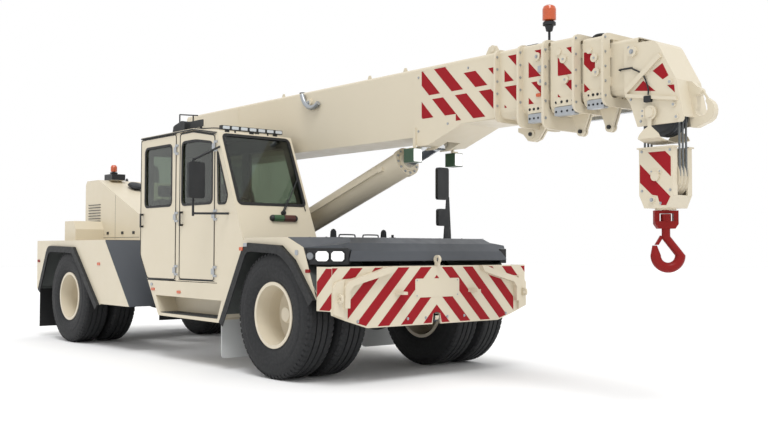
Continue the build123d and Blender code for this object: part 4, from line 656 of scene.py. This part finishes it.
# wiper: a drive on the cab's front, two arms and a blade on its carrier
kit = Kit()
kit.rod((0.372, -0.82, 1.806), (0.408, -0.82, 1.822), 0.03)
kit.rod((0.396, -0.82, 1.822), (0.42, -0.82, 1.832), 0.018)
kit.rod((0.405, -0.818, 1.828), (0.224, -0.505, 2.233), 0.0075, n=8)
kit.rod((0.4, -0.835, 1.826), (0.33, -0.716, 1.98), 0.006, n=8)
low, high = Vector((0.376, -0.49, 1.85)), Vector((0.164, -0.49, 2.326))
inset, lift = 0.12 * (high - low).normalized(), Vector((0.012, 0, 0.005))
kit.rod(low, high, 0.006, n=8)
kit.rod(low + inset + lift, high - inset + lift, 0.006, n=8)
kit.done("screen_wiper", "front_chassis", "dark_metal", PLASTIC)

# mirror glasses
kit = Kit()
for limits in ((1.134, 1.298, 2.036, 2.416), (1.144, 1.288, 1.706, 1.894)):
    kit.slab(limits, 0.03, X, 0.9285, 0.932)
kit.slab((-1.854, -1.672, 1.988, 2.372), 0.03, X, -0.0165, -0.013)
kit.done("mirror_glasses", "front_chassis", "lamp_lens", MIRROR)

# ---- cab roof ----
GUTTER_Y, GUTTER_H = -1.452, 0.013
GUTTER_LINE = [(-1.995, 2.846), (-0.621, 2.851), (-0.07, 2.763)]
MAST_X, MAST_Y, MAST_TOP = -1.245, -1.3, 3.105
kit = Kit()
gutter = GUTTER_LINE + [(x, z - GUTTER_H) for x, z in reversed(GUTTER_LINE)]
kit.prism(gutter, Y, GUTTER_Y - 0.012, GUTTER_Y + 0.004)
# junction box, and the aerials on their frame
box_side = [(-1.33, 2.85), (-1.01, 2.85), (-1.01, 2.99), (-1.09, 3.005), (-1.3, 2.955)]
kit.prism(eased(box_side, 0.02), Y, -1.36, -1.2)
for x, z in ((MAST_X, MAST_TOP), (-0.9, 3.06)):
    kit.post(x, MAST_Y, 2.85, z, 0.009, n=10)
kit.rod((MAST_X, MAST_Y, MAST_TOP), (-0.79, MAST_Y, 3.046), 0.008, n=10)
# a blank board on two feet along the roof's edge
kit.slab((-0.985, -0.64, 2.9, 2.985), 0.012, Y, -1.312, MAST_Y)
for x in (-0.93, -0.7):
    kit.box(x - 0.012, x + 0.012, -1.316, -1.29, 2.838, 2.905)
kit.post(-0.5, -0.62, 2.836, 2.868, 0.032)
for y in (-1.2, -0.97, -0.74):
    kit.post(-0.072, y, 2.768, 2.802, 0.01, n=10)
kit.hose([(-0.1, -1.38, 2.815), (-0.3, -1.4, 2.835), (-0.8, -1.35, 2.866), (-1.12, -1.3, 2.87)], 0.007)
kit.done("roof_gear", "front_chassis", "cab_plastic", PLASTIC)
kit = Kit()
for i in range(7):
    kit.slab(about(-1.34 + 0.1235 * i, 2.824, 0.046, 0.018), 0.01, X, -0.046, -0.0385)
kit.done("roof_light_lenses", "front_chassis", "lamp_lens", LENS)

# ---- lamps ----
CAPSULE_R, CAPSULE_LENGTH = 0.04, 0.305
FOG_PROFILE = [(0, -0.01), (0.036, -0.01), (0.041, -0.004), (0.036, 0.002), (0.02, 0.005), (0, 0.006)]
FOG_RIM = [(0.04, -0.008), (0.048, -0.008), (0.048, 0.004), (0.04, 0.004)]

housing, clear, dim = Kit(), Kit(), Kit()
for s in SIDES:
    # along the swept-back front corner, from its outer end; the left side is the right side's mirror image
    place = basis((1.685, s * 1.45, 0), (0.8184, -s * 0.5747, 0), (0, 0, 1))
    place = place @ Matrix.Diagonal((1, 1, -s, 1))
    housing.place = clear.place = dim.place = place
    shell = eased(rect(0.016, 0.484, 1.236, 1.403), 0.012)
    housing.prism(shell, Z, -0.068, -0.006)
    housing.ring(shell, 0, 0.012, Z, -0.008, 0.002)
    for d0, d1 in ((0.124, 0.279), (0.291, 0.446)):
        face = eased(rect(d0, d1, 1.262, 1.38), 0.028, 1)
        clear.prism(grown(face, -0.008), Z, -0.004, 0.0035)
        housing.ring(face, 0, 0.008, Z, -0.008, 0.006)
    dim.lathe(FOG_PROFILE, (0.068, 1.322, 0), (0, 0, 1), n=28)
    housing.lathe(FOG_RIM, (0.068, 1.322, 0), (0, 0, 1), n=28)
housing.place = Matrix.Identity(4)
# the capsule lamp across the cab's front
arc = [math.pi * i / 16 for i in range(1, 9)]
capsule = [(0, -CAPSULE_R)] + [(CAPSULE_R * math.sin(a), -CAPSULE_R * math.cos(a)) for a in arc]
capsule += [(r, CAPSULE_LENGTH - off) for r, off in reversed(capsule)]
housing.lathe(capsule, (0.424, -0.987, 1.753), (0, 1, 0), n=28)
lamps = housing.done("head_lamp_housings", "front_chassis", "lamp_lens", LAMPS)
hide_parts("head_lamps")
clear.done("head_lamp_lenses", "front_chassis", "lamp_lens", BRIGHT, smooth=20)
dim.done("fog_lamp_lenses", "front_chassis", "lamp_lens", SMOKED)

kit = Kit()
for x, s in ((2.2145, -1), (2.1245, 1)):
    kit.slab(about(s * 0.35, 2.395, 0.056, 0.068), 0.012, X, x, x + 0.005)
kit.done("work_light_lenses", "boom", "lamp_lens", BRIGHT)

# marker lamps, reflectors and blank labels along the sides: (x, z, half length, half height, kit)
FLANK = 1.4505
amber, red, plain = Kit(), Kit(), Kit()
flank_marks = (
    (-1.631, 0.878, 0.044, 0.018, amber), (-0.948, 0.862, 0.044, 0.018, amber),
    (-1.666, 0.939, 0.026, 0.018, plain), (1.565, 1.357, 0.026, 0.026, plain),
    (1.759, 1.168, 0.034, 0.018, red),
)
for s in SIDES:
    y = s * FLANK
    for x, z, half_x, half_z, kit in flank_marks:
        kit.slab(about(x, z, half_x, half_z), 0.012, Y, y - 0.008, y + 0.008)
for x, z, kit in ((0.552, 1.395, amber), (0.64, 1.44, plain)):
    kit.slab(about(x, z, 0.036, 0.02), 0.012, Y, -1.501, -1.492)
amber.done("side_markers", "front_chassis", "amber_lens", AMBER)
red.done("side_reflectors", "front_chassis", "red_paint", RED)
plain.done("side_labels", "front_chassis", "lamp_lens", ZINC)

REAR_FACE = -5.632
amber, red, plain = Kit(), Kit(), Kit()
for s in SIDES:
    for y, kit in ((1.33, red), (1.2, amber), (1.07, plain)):
        kit.rod((REAR_FACE, s * y, 1.08), (REAR_FACE - 0.02, s * y, 1.08), 0.05, n=24)
        plain.rod((REAR_FACE, s * y, 1.08), (REAR_FACE - 0.011, s * y, 1.08), 0.058, n=24)
    for kit, x, z in ((amber, -3.3, 1.18), (red, -5.56, 1.2)):
        kit.slab(about(x, z, 0.044, 0.02), 0.012, Y, s * FLANK - 0.008, s * FLANK + 0.008)
amber.done("rear_markers", "rear_chassis", "amber_lens", AMBER)
red.done("rear_lamps", "rear_chassis", "red_paint", RED)
plain.done("rear_lamp_rings", "rear_chassis", "lamp_lens", ZINC)

# step tread, with rows of raised lozenges
STEP_Z, STEP_X0, STEP_X1 = 0.592, -1.42, -0.03
kit = Kit()
kit.box(STEP_X0, STEP_X1, -1.449, -1.215, STEP_Z, STEP_Z + 0.006)
for i in range(44):
    for j in range(7):
        x, y = STEP_X0 + 0.03 + 0.0305 * i, -1.432 + 0.032 * j
        lozenge = [(x - 0.009, y), (x, y - 0.004), (x + 0.009, y), (x, y + 0.004)]
        kit.prism(lozenge, Z, STEP_Z + 0.005, STEP_Z + 0.0085)
kit.done("step_tread", "front_chassis", "dark_metal", TREAD, smooth=0)

# ---- front hood ----
DECK = 1.52
EYE_SIDE = ((0.042, -0.002), (0.036, 0.08), (0.022, 0.104))  # (half width, height) of a lifting eye
GRIP_SIDE = ((0.12, -0.004), (0.118, 0.035), (0.09, 0.046))  # the same of a grab handle
kit = Kit()
for y in (-0.385, 0.385):
    eye = [(y - half, DECK + up) for half, up in EYE_SIDE] + [(y, DECK + 0.113)]
    eye += [(y + half, DECK + up) for half, up in reversed(EYE_SIDE)]
    kit.prism(eye, X, 0.78, 0.8)
    kit.rod((0.776, y, DECK + 0.076), (0.804, y, DECK + 0.076), 0.015)
    kit.box(0.75, 0.83, y - 0.055, y + 0.055, DECK - 0.002, DECK + 0.01)
for y in (-0.18, 0.18):
    grip = [(0.79, y - half, DECK + up) for half, up in GRIP_SIDE]
    grip += [(0.79, y + half, DECK + up) for half, up in reversed(GRIP_SIDE)]
    kit.hose(grip, 0.008, n=8, steps=4)
kit.post(0.79, 0.53, DECK - 0.002, DECK + 0.02, 0.042)
kit.post(0.79, 0.53, DECK + 0.018, DECK + 0.052, 0.016)
for y in (-1.02, 1.02):
    for x in (0.9, 1.2, 1.5):
        kit.bolt((x, y, DECK), (0, 0, 1), 0.01, 0.008)
kit.done("hood_fittings", "front_chassis", "dark_metal", DARK)
kit = Kit()
for y in (-1.06, -0.36, 0.36, 1.06):
    kit.box(0.83, 1.83, y - 0.0035, y + 0.0035, DECK - 0.001, DECK + 0.0009)
kit.box(0.826, 0.834, -1.4, 1.4, DECK - 0.001, DECK + 0.0009)
kit.done("hood_seams", "front_chassis", "dark_metal", RUBBER, smooth=0)

# ---- engine hood ----
HOOD_Y, SEAM = 0.72, 0.0009
LOUVRE_X0, LOUVRE_X1 = -5.36, -4.9
kit = Kit()
both_sides(kit, rect(-4.363, -4.357, 1.54, 2.235), HOOD_Y, SEAM)
both_sides(kit, rect(-5.44, -3.53, 1.566, 1.572), HOOD_Y, SEAM)
for s in SIDES:
    for i in range(11):
        z = 1.655 + 0.044 * i
        foot = rect(LOUVRE_X0, LOUVRE_X1, z, z + 0.012)
        lip = rect(LOUVRE_X0 + 0.01, LOUVRE_X1 - 0.01, z + 0.004, z + 0.009)
        kit.loop([foot, lip], Y, [s * (HOOD_Y - 0.002), s * (HOOD_Y + 0.012)], caps=True)
    for x in (-4.1, -3.72, -4.62):
        kit.slab(about(x, 1.64, 0.036, 0.022), 0.012, Y, s * (HOOD_Y - 0.002), s * (HOOD_Y + 0.007))
kit.done("engine_louvres", "rear_chassis", "dark_metal", DARK, smooth=0)

# two lifting eyes, the filler cap on the slope, and the stack with its bent end
STACK_X, STACK_Y = -5.25, 0.42
CAP = [(0, -0.01), (0.07, -0.01), (0.07, 0.03), (0.13, 0.034), (0.138, 0.046), (0.12, 0.072),
       (0.06, 0.088), (0, 0.092)]
kit = Kit()
for x, y in ((-5.15, 0.3), (-5.15, -0.16)):
    arch = [(x - 0.045, 2.498), (x - 0.03, 2.545), (x, 2.56), (x + 0.03, 2.545), (x + 0.045, 2.498)]
    arch += [(x + 0.016, 2.498), (x, 2.532), (x - 0.016, 2.498)]
    kit.prism(arch, Y, y - 0.008, y + 0.008)
kit.lathe(CAP, (-4.65, -0.24, 2.364), (0.61, 0, 1.5), n=40)
kit.post(STACK_X, STACK_Y, 2.495, 2.66, 0.055, n=28)
bend = [(STACK_X, 2.65), (STACK_X, 2.72), (STACK_X - 0.05, 2.775), (STACK_X - 0.12, 2.79)]
kit.hose([(x, STACK_Y, z) for x, z in bend], 0.046, n=20)
kit.done("engine_hood_fittings", "rear_chassis", "dark_metal", DARK)


def ribbed_dome(tip, ribs, top, pitch, rib, radius, waist):
    """A lamp dome's profile from its foot up: ribs between a radius and a waist, then the rounded tip."""
    profile = list(tip)
    for i in range(ribs):
        z = top - pitch * i
        profile += [(radius, z + rib), (waist, z)]
    return [(0, 0)] + list(reversed(profile))


BEACON_X, BEACON_Y = -5.04, -0.44
BEACON_BASE = [(0, 0), (0.06, 0), (0.06, 0.018), (0.052, 0.022), (0, 0.022)]
BEACON_TIP = [(0, 0.12), (0.03, 0.117), (0.043, 0.106), (0.049, 0.09)]
kit = Kit()
kit.lathe(BEACON_BASE, (BEACON_X, BEACON_Y, 2.618), (0, 0, 1), n=36)
kit.done("rear_beacon_base", "rear_chassis", "rubber", RUBBER)
kit = Kit()
dome = ribbed_dome(BEACON_TIP, 6, 0.08, 0.014, 0.005, 0.052, 0.0505)
kit.lathe(dome, (BEACON_X, BEACON_Y, 2.64), (0, 0, 1), n=40)
rear_dome = kit.done("rear_beacon_dome", "rear_chassis", "amber_lens", AMBER)
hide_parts("rear_beacon")

# ---- seats ----
# outlines across the cab about a seat's middle: x from it, and z
SEAT = [(-0.226, 1.386), (0.24, 1.386), (0.256, 1.44), (0.236, 1.506), (0.1, 1.492), (-0.226, 1.498)]
SEAT_EDGE = [(-0.22, 1.386), (0.238, 1.386), (0.254, 1.446), (0.234, 1.5095), (-0.22, 1.5095)]
BACK = [(-0.235, 1.49), (-0.118, 1.47), (-0.15, 1.75), (-0.186, 2.05), (-0.272, 2.055)]
BACK_EDGE = [(-0.232, 1.49), (-0.112, 1.47), (-0.138, 1.75), (-0.184, 2.02), (-0.266, 2.04)]
HEAD_REST = [(-0.268, 2.084), (-0.193, 2.084), (-0.207, 2.236), (-0.272, 2.236)]


def cushion(kit, outline, seat_x, y, ease, half, soft):
    """A padded slab: an (x, z) outline across the cab, with its edges drawn in towards both ends."""
    outline = eased([(seat_x + x, z) for x, z in outline], ease)
    levels, loops = [], []
    for k in range(9):
        t = -1 + k / 4
        levels.append(y + half * math.copysign(abs(t) ** 0.6, t) if t else y)
        loops.append(grown(outline, -soft * (1 - math.sqrt(max(0, 1 - abs(t) ** 3.2)))))
    kit.loop(loops, Y, levels, caps=True)


pads, shells = Kit(), Kit()
for x, y in ((-0.78, -1.15), (-0.78, -0.69), (-1.64, -1.15), (-1.64, -0.69)):
    cushion(pads, SEAT, x, y, 0.05, 0.15, 0.03)
    cushion(pads, BACK, x, y, 0.05, 0.145, 0.03)
    cushion(pads, HEAD_REST, x, y, 0.035, 0.118, 0.026)
    shells.slab((x - 0.105, x + 0.175, y - 0.125, y + 0.125), 0.03, Z, 1.052, 1.3)
    shells.box(x - 0.2, x + 0.22, y - 0.16, y + 0.16, 1.3, 1.382)
    for s in SIDES:
        cushion(pads, SEAT_EDGE, x, y + s * 0.168, 0.05, 0.036, 0.02)
        cushion(pads, BACK_EDGE, x, y + s * 0.16, 0.05, 0.034, 0.018)
        stalk_y = y + s * 0.055
        shells.rod((x - 0.228, stalk_y, 2.03), (x - 0.232, stalk_y, 2.1), 0.0065, n=10)
seats = pads.done("padded_seats", "front_chassis", "seat_fabric", FABRIC, smooth=60)
shells.done("seat_bases", "front_chassis", "cab_plastic", PLASTIC)
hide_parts("cab_seats")

# ---- hoist ropes ----
BLOCK_X = 5.015
ROPE_TOP, ROPE_FALL, ROPE_STEPS = 2.56, 0.54, 60
STRANDS, STRAND_R, STRAND_FACETS, LAY_R = 6, 0.0038, 6, 0.0066
LAY_TURN = 0.045  # turns per step
kit = Kit()
for x in (BLOCK_X - 0.172, BLOCK_X + 0.172):
    for y in (-0.05, 0, 0.05):
        for strand in range(STRANDS):
            points = []
            for i in range(ROPE_STEPS + 1):
                a = TURN * strand / STRANDS + TURN * i * LAY_TURN
                z = ROPE_TOP - ROPE_FALL * i / ROPE_STEPS
                middle = Vector((x + LAY_R * math.cos(a), y + LAY_R * math.sin(a), z))
                points += circle(middle, Vector((1, 0, 0)), Vector((0, 1, 0)), STRAND_R, STRAND_FACETS)
            kit.add(points, tube_faces(ROPE_STEPS + 1, STRAND_FACETS))
falls = kit.done("rope_falls", "block", "rope_steel", STEEL, smooth=50)
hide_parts("hoist_falls")

# ---- boom ----
BOOM_TOP = 3.343
LUG_PIN_X, LUG_PIN_Z = 3.52, 2.525
LUG = [(3.35, 2.6), (3.352, 2.56), (3.42, 2.53), (3.48, 2.462), (3.55, 2.448), (3.62, 2.47),
       (3.69, 2.56), (3.722, 2.6)]
LAMP_X, LAMP_Y = 3.855, -0.15
CUP = [(0, 0), (0.03, 0), (0.042, 0.05), (0.062, 0.056), (0.062, 0.082), (0.052, 0.09), (0, 0.09)]
CUP_DOME_TIP = [(0, 0.16), (0.038, 0.157), (0.055, 0.146), (0.062, 0.128)]
# what stands on the boom's top, by its (x, z) outline
WEDGE = [(3.44, BOOM_TOP), (3.77, BOOM_TOP), (3.77, 3.362), (3.64, 3.398), (3.47, 3.398), (3.44, 3.375)]
HOSE_GUARD = [(2.96, 3.35), (3.18, 3.35), (3.17, 3.384), (3.06, 3.402), (2.97, 3.384)]
TALL_TAB = [(3.1, BOOM_TOP), (3.28, BOOM_TOP), (3.28, 3.356), (3.24, 3.42), (3.14, 3.42), (3.1, 3.356)]
TOP_HOSE = [(-2.2, -0.12, 3.352), (-1, -0.12, 3.358), (1.2, -0.12, 3.358), (2.94, -0.1, 3.362)]
END_COVERS = ((3.811, 3.216), (3.861, 2.976))
GUIDE_Y = 0.305
GUIDE = [(0.03, 3.31), (0.09, 3.205), (0.19, 3.135), (0.3, 3.132), (0.37, 3.17)]
dark, paint, zinc, amber = Kit(), Kit(), Kit(), Kit()

# the lug under the end, with its pin
for s in SIDES:
    paint.prism(LUG, Y, s * 0.008, s * 0.03)
    paint.pin(LUG_PIN_X, LUG_PIN_Z, s * 0.006, s * 0.04, 0.046, n=24)
dark.pin(LUG_PIN_X, LUG_PIN_Z, -0.052, 0.052, 0.02, n=20)

# the beacon on its stalk
dark.box(*about(LAMP_X, LAMP_Y, 0.045, 0.04), 3.34, 3.372)
dark.post(LAMP_X, LAMP_Y, 3.365, 3.48, 0.012, n=12)
dark.lathe(CUP, (LAMP_X, LAMP_Y, 3.47), (0, 0, 1), n=36)
dome = ribbed_dome(CUP_DOME_TIP, 7, 0.11, 0.016, 0.006, 0.066, 0.064)
amber.lathe(dome, (LAMP_X, LAMP_Y, 3.56), (0, 0, 1), n=44)

# guards, tabs and the long hose on the boom's top
dark.prism(WEDGE, Y, -0.075, 0.045)
paint.box(2.9, 3.24, -0.12, 0.12, BOOM_TOP, 3.352)
dark.prism(HOSE_GUARD, Y, -0.075, 0.06)
paint.prism(TALL_TAB, Y, -0.226, -0.214)
paint.pin(3.19, 3.398, -0.232, -0.206, 0.034, n=24)
dark.hose(TOP_HOSE, 0.01, n=8, steps=10)
for x in (-0.52, 1.23, 1.85):
    tab = [(x - 0.04, BOOM_TOP), (x + 0.04, BOOM_TOP), (x + 0.014, 3.396), (x - 0.014, 3.396)]
    paint.prism(tab, Y, -0.206, -0.194)
# a strip up each side, then a knob and the hose's clamps on the top
both_sides(paint, rect(-1.5, -1.492, 2.69, 3.33), 0.27, 0.003)
dark.post(-0.235, -0.1, 3.342, 3.372, 0.03, n=20)
dark.post(-0.235, -0.1, 3.37, 3.388, 0.045, n=20)
for x in (-2.1, -0.9, 0.3, 1.5):
    zinc.box(x - 0.012, x + 0.012, -0.15, -0.09, BOOM_TOP + 0.0005, 3.372)

for s in SIDES:
    # round covers, a box and a marker by the end
    for x, z in END_COVERS:
        paint.pin(x, z, s * 0.268, s * 0.29, 0.04, n=28)
    zinc.box(3.828, 3.878, s * 0.279 - 0.01, s * 0.279 + 0.01, 3.062, 3.122)
    amber.slab((3.798, 3.854, 2.834, 2.866), 0.012, Y, s * 0.275 - 0.006, s * 0.275 + 0.006)
    # the bright bent guide high on the side, on its boss
    zinc.hose([(x, s * GUIDE_Y, z) for x, z in GUIDE], 0.03, n=14, steps=6)
    paint.pin(0.153, 3.197, s * 0.268, s * 0.296, 0.052, n=28)
    # bolts along the ribs and the end flange
    for x in (3.325, 3.625):
        for z in (2.8, 2.92, 3.04, 3.16, 3.28):
            zinc.bolt((x, s * 0.304, z), (1, 0, 0), 0.01, 0.008)
    for z in (2.62, 2.78, 2.94, 3.1, 3.26):
        zinc.bolt((3.935, s * 0.304, z), (1, 0, 0), 0.011, 0.009)
zinc.side_bolts(END_COVERS, 0.289, 0.013, 0.009)
zinc.side_bolts([(0.153, 3.197)], 0.295, 0.018, 0.012)
zinc.side_bolts([(2.15, 2.66), (2.15, 3.24), (2.6, 2.7), (2.9, 3.24)], 0.278, 0.01, 0.007)


def pad_plates(paint, zinc, bolts, limits, y):
    """A slide pad's cover on each side: painted upper half with bolts, bright lower half."""
    x0, x1, z0, z1 = limits
    mid = 0.5 * (z0 + z1)
    count = 4 if x1 - x0 > 0.19 else 3
    for s in SIDES:
        inner, face = s * (y - 0.055), s * (y + 0.01)
        paint.slab((x0, x1, mid + 0.003, z1), 0.01, Y, inner, face)
        zinc.slab((x0 + 0.006, x1 - 0.006, z0, mid - 0.003), 0.01, Y, inner, face)
        for i in range(count):
            x = x0 + 0.026 + (x1 - x0 - 0.052) * i / (count - 1)
            bolts.bolt((x, face, mid + 0.042), (0, s, 0), 0.01, 0.008)
            bolts.bolt((x, face, mid - 0.046), (0, s, 0), 0.008, 0.007)


pad_plates(paint, zinc, dark, (3.696, 3.902, 2.592, 2.768), 0.2705)
dark.done("boom_gear", "boom", "dark_metal", DARK)
fittings = paint.done("boom_lugs", "boom", "cream_paint", CREAM)
zinc.done("boom_bolts", "boom", "dark_metal", ZINC)
amber.done("boom_beacon_dome", "boom", "amber_lens", AMBER)
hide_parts("boom_fittings")

# ---- collars of the two inner sections ----
# by section: the collar's stretch of x, the section's half width and z limits, and its lug pin's z
COLLARS = {2: (3.965, 4.285, 0.235, 2.71, 3.312, 2.497), 3: (4.315, 4.585, 0.202, 2.738, 3.279, 2.507)}
COLLAR_HOSES = [(4.315, 3.312), (4.34, 3.345), (4.4, 3.352), (4.5, 3.335), (4.56, 3.316)]
for number, (x0, x1, half, z0, z1, pin_z) in COLLARS.items():
    paint, zinc, dark = Kit(), Kit(), Kit()
    face, mid = half + 0.028, 0.5 * (x0 + x1)
    pad_plates(paint, zinc, dark, (x0 + 0.045, x1 - 0.03, z0 - 0.082, z0 + 0.086), face)
    for s in SIDES:
        for x, z in ((mid - 0.005, z1 - 0.165), (mid + 0.015, z0 + 0.245)):
            paint.pin(x, z, s * (face - 0.001), s * (face + 0.016), 0.038, n=28)
            zinc.bolt((x, s * (face + 0.013), z), (0, s, 0), 0.011, 0.008)
        for i in range(5):
            z = z0 + 0.02 + (z1 - z0 - 0.02) * i / 4
            zinc.bolt((x1, s * (half + 0.06), z), (1, 0, 0), 0.009, 0.008)
    dark.pin(mid, pin_z, -0.048, 0.048, 0.0185, n=20)
    if number == 3:
        for y in (-0.09, -0.055, -0.02, 0.015):
            dark.hose([(x, y, z) for x, z in COLLAR_HOSES], 0.014, n=10, steps=5)
    body = "section_%d" % number
    paint.done("collar_covers_%d" % number, body, "cream_paint", CREAM)
    zinc.done("collar_bolts_%d" % number, body, "dark_metal", ZINC)
    dark.done("collar_fittings_%d" % number, body, "dark_metal", DARK)

# ---- boom head ----
CABLE = [(4.985, -0.205, 2.705), (4.985, -0.205, 2.78), (4.93, -0.202, 2.9), (4.82, -0.2, 2.97)]
HANDLE = [(4.68, -0.168), (4.68, -0.188), (4.7, -0.196), (4.8, -0.196), (4.815, -0.19)]
HANDLE_Z = 2.976
HEAD_LUG = [(4.815, 3.186), (4.885, 3.186), (4.876, 3.215), (4.85, 3.228), (4.824, 3.215)]
paint, zinc, dark = Kit(), Kit(), Kit()
for s in SIDES:
    # covers and nuts on the ends of the pins, then the keeper plate
    for x, z, r in ((5.253, 2.504, 0.022), (5.226, 2.611, 0.022), (5.193, 2.805, 0.024)):
        paint.pin(x, z, s * 0.189, s * 0.202, r, n=24)
        zinc.pin(x, z, s * 0.201, s * 0.205, r * 0.55, n=6)
    paint.slab((4.925, 4.965, 2.52, 2.6), 0.008, Y, s * 0.229, s * 0.2345)
zinc.side_bolts([(4.945, 2.538), (4.945, 2.582)], 0.2345, 0.007, 0.005)
zinc.side_bolts([(4.8, 2.7), (4.78, 3.16), (4.9, 2.5)], 0.19, 0.009, 0.007)
zinc.side_bolts([(4.826, 3.115)], 0.218, 0.016, 0.011)
# cable box with its cable, the handle, and two lugs on top
dark.slab((4.95, 5.02, 2.655, 2.71), 0.01, Y, -0.222, -0.189)
dark.hose(CABLE, 0.007, n=8, steps=5)
dark.hose([(x, y, HANDLE_Z) for x, y in HANDLE], 0.008, n=8, steps=4)
for y in (-0.1, 0.1):
    paint.prism(HEAD_LUG, Y, y - 0.006, y + 0.006)
paint.done("head_covers", "section_4", "cream_paint", CREAM)
zinc.done("head_bolts", "section_4", "dark_metal", ZINC)
dark.done("head_fittings", "section_4", "dark_metal", DARK)

# ---- hook block and luff cylinder ----
CHEEK_Y = 0.144
paint, zinc = Kit(), Kit()
for s in SIDES:
    paint.slab(about(BLOCK_X, 2.064, 0.056, 0.018), 0.008, Y, s * (CHEEK_Y + 0.0005), s * (CHEEK_Y + 0.007))
zinc.side_bolts([(4.974, 2.064), (5.056, 2.064)], CHEEK_Y + 0.006, 0.006, 0.005)
cheek_bolts = [(4.875, 1.9), (5.155, 1.9), (4.875, 2.24), (5.155, 2.24), (5.06, 1.79)]
zinc.side_bolts(cheek_bolts, CHEEK_Y, 0.009, 0.007)
zinc.side_bolts([(4.981, 1.82)], CHEEK_Y + 0.016, 0.013, 0.009)
paint.done("block_keepers", "block", "cream_paint", CREAM)
zinc.done("block_bolts", "block", "dark_metal", ZINC)

kit = Kit()
kit.post(BLOCK_X, 0, 1.636, 1.7, 0.04, n=6)
kit.done("hook_nut", "swivel_hook", "dark_metal", ZINC)

# gland bolts round the end of the cylinder's barrel
CYLINDER_FOOT, ROD_EYE = Vector((-1.755, 0, 1.226)), Vector((2.15, 0, 2.555))
BARREL_LENGTH, GLAND_BOLTS, GLAND_R = 3.606, 12, 0.137
kit = Kit()
way = (ROD_EYE - CYLINDER_FOOT).normalized()
side_way = way.orthogonal().normalized()
gland = CYLINDER_FOOT + way * BARREL_LENGTH
for i in range(GLAND_BOLTS):
    a = TURN * (i + 0.5) / GLAND_BOLTS
    out = math.cos(a) * side_way + math.sin(a) * way.cross(side_way)
    kit.bolt(gland + GLAND_R * out, way, 0.011, 0.012)
kit.done("cylinder_bolts", "luff_cylinder", "dark_metal", ZINC)

# ---- floor and light ----
scene = bpy.context.scene
floor_mesh = bpy.data.meshes.new("floor")
floor_mesh.from_pydata([(x, y, 0) for x, y in rect(-60, 60, -60, 60)], [], [(0, 1, 2, 3)])
floor_mesh.materials.append(finish("studio_floor", (247, 247, 247), 0.9, vary=0.002, grain=0))
floor = bpy.data.objects.new("floor", floor_mesh)
scene.collection.objects.link(floor)

# the world: white to the eye, through glass and in mirrors; for lighting, a dome that brightens upwards
world = bpy.data.worlds.new("studio")
scene.world = world
world.use_nodes = True
air = world.node_tree
back = air.nodes["Background"]
back.inputs["Color"].default_value = (1, 1, 1, 1)
rays = add_node(air, "LightPath", {}).outputs
seen = rays["Is Camera Ray"]
for ray in ("Is Transmission Ray", "Is Glossy Ray"):
    seen = add_node(air, "Math", {0: seen, 1: rays[ray]}, operation="MAXIMUM").outputs[0]
sky_place = add_node(air, "TexCoord", {}).outputs["Generated"]
height = add_node(air, "SeparateXYZ", {0: sky_place}).outputs["Z"]
dome_levels = {"Value": height, "From Min": 0, "From Max": 1, "To Min": 0.7, "To Max": 1}
dome_light = add_node(air, "MapRange", dome_levels).outputs["Result"]
level = add_node(air, "Mix", {"Factor": seen, "A": dome_light, "B": 1}, data_type="FLOAT").outputs["Result"]
air.links.new(level, back.inputs["Strength"])

sun = bpy.data.lights.new("overhead", "SUN")
sun.energy = 1.35
sun.angle = math.radians(24)
overhead = bpy.data.objects.new("overhead", sun)
scene.collection.objects.link(overhead)
overhead.rotation_euler = Vector((-0.42, 0.3, -1)).to_track_quat("-Z", "Y").to_euler()

# ---- camera ----
EYE = Vector((9.812, -7.257, 1.386))
YAW, PITCH, ROLL = math.radians(139.71), math.radians(2.012), math.radians(0.127)
ahead = Vector((math.cos(YAW) * math.cos(PITCH), math.sin(YAW) * math.cos(PITCH), math.sin(PITCH)))
level_right = Vector((math.sin(YAW), -math.cos(YAW), 0))
level_up = level_right.cross(ahead)
right = math.cos(ROLL) * level_right + math.sin(ROLL) * level_up
lens = bpy.data.cameras.new("camera")
lens.sensor_width = 36
lens.sensor_fit = "HORIZONTAL"
lens.lens = 45.36
lens.clip_end = 200
camera = bpy.data.objects.new("camera", lens)
scene.collection.objects.link(camera)
camera.matrix_world = basis(EYE, right, right.cross(ahead))
scene.camera = camera
scene.view_settings.view_transform = "Standard"
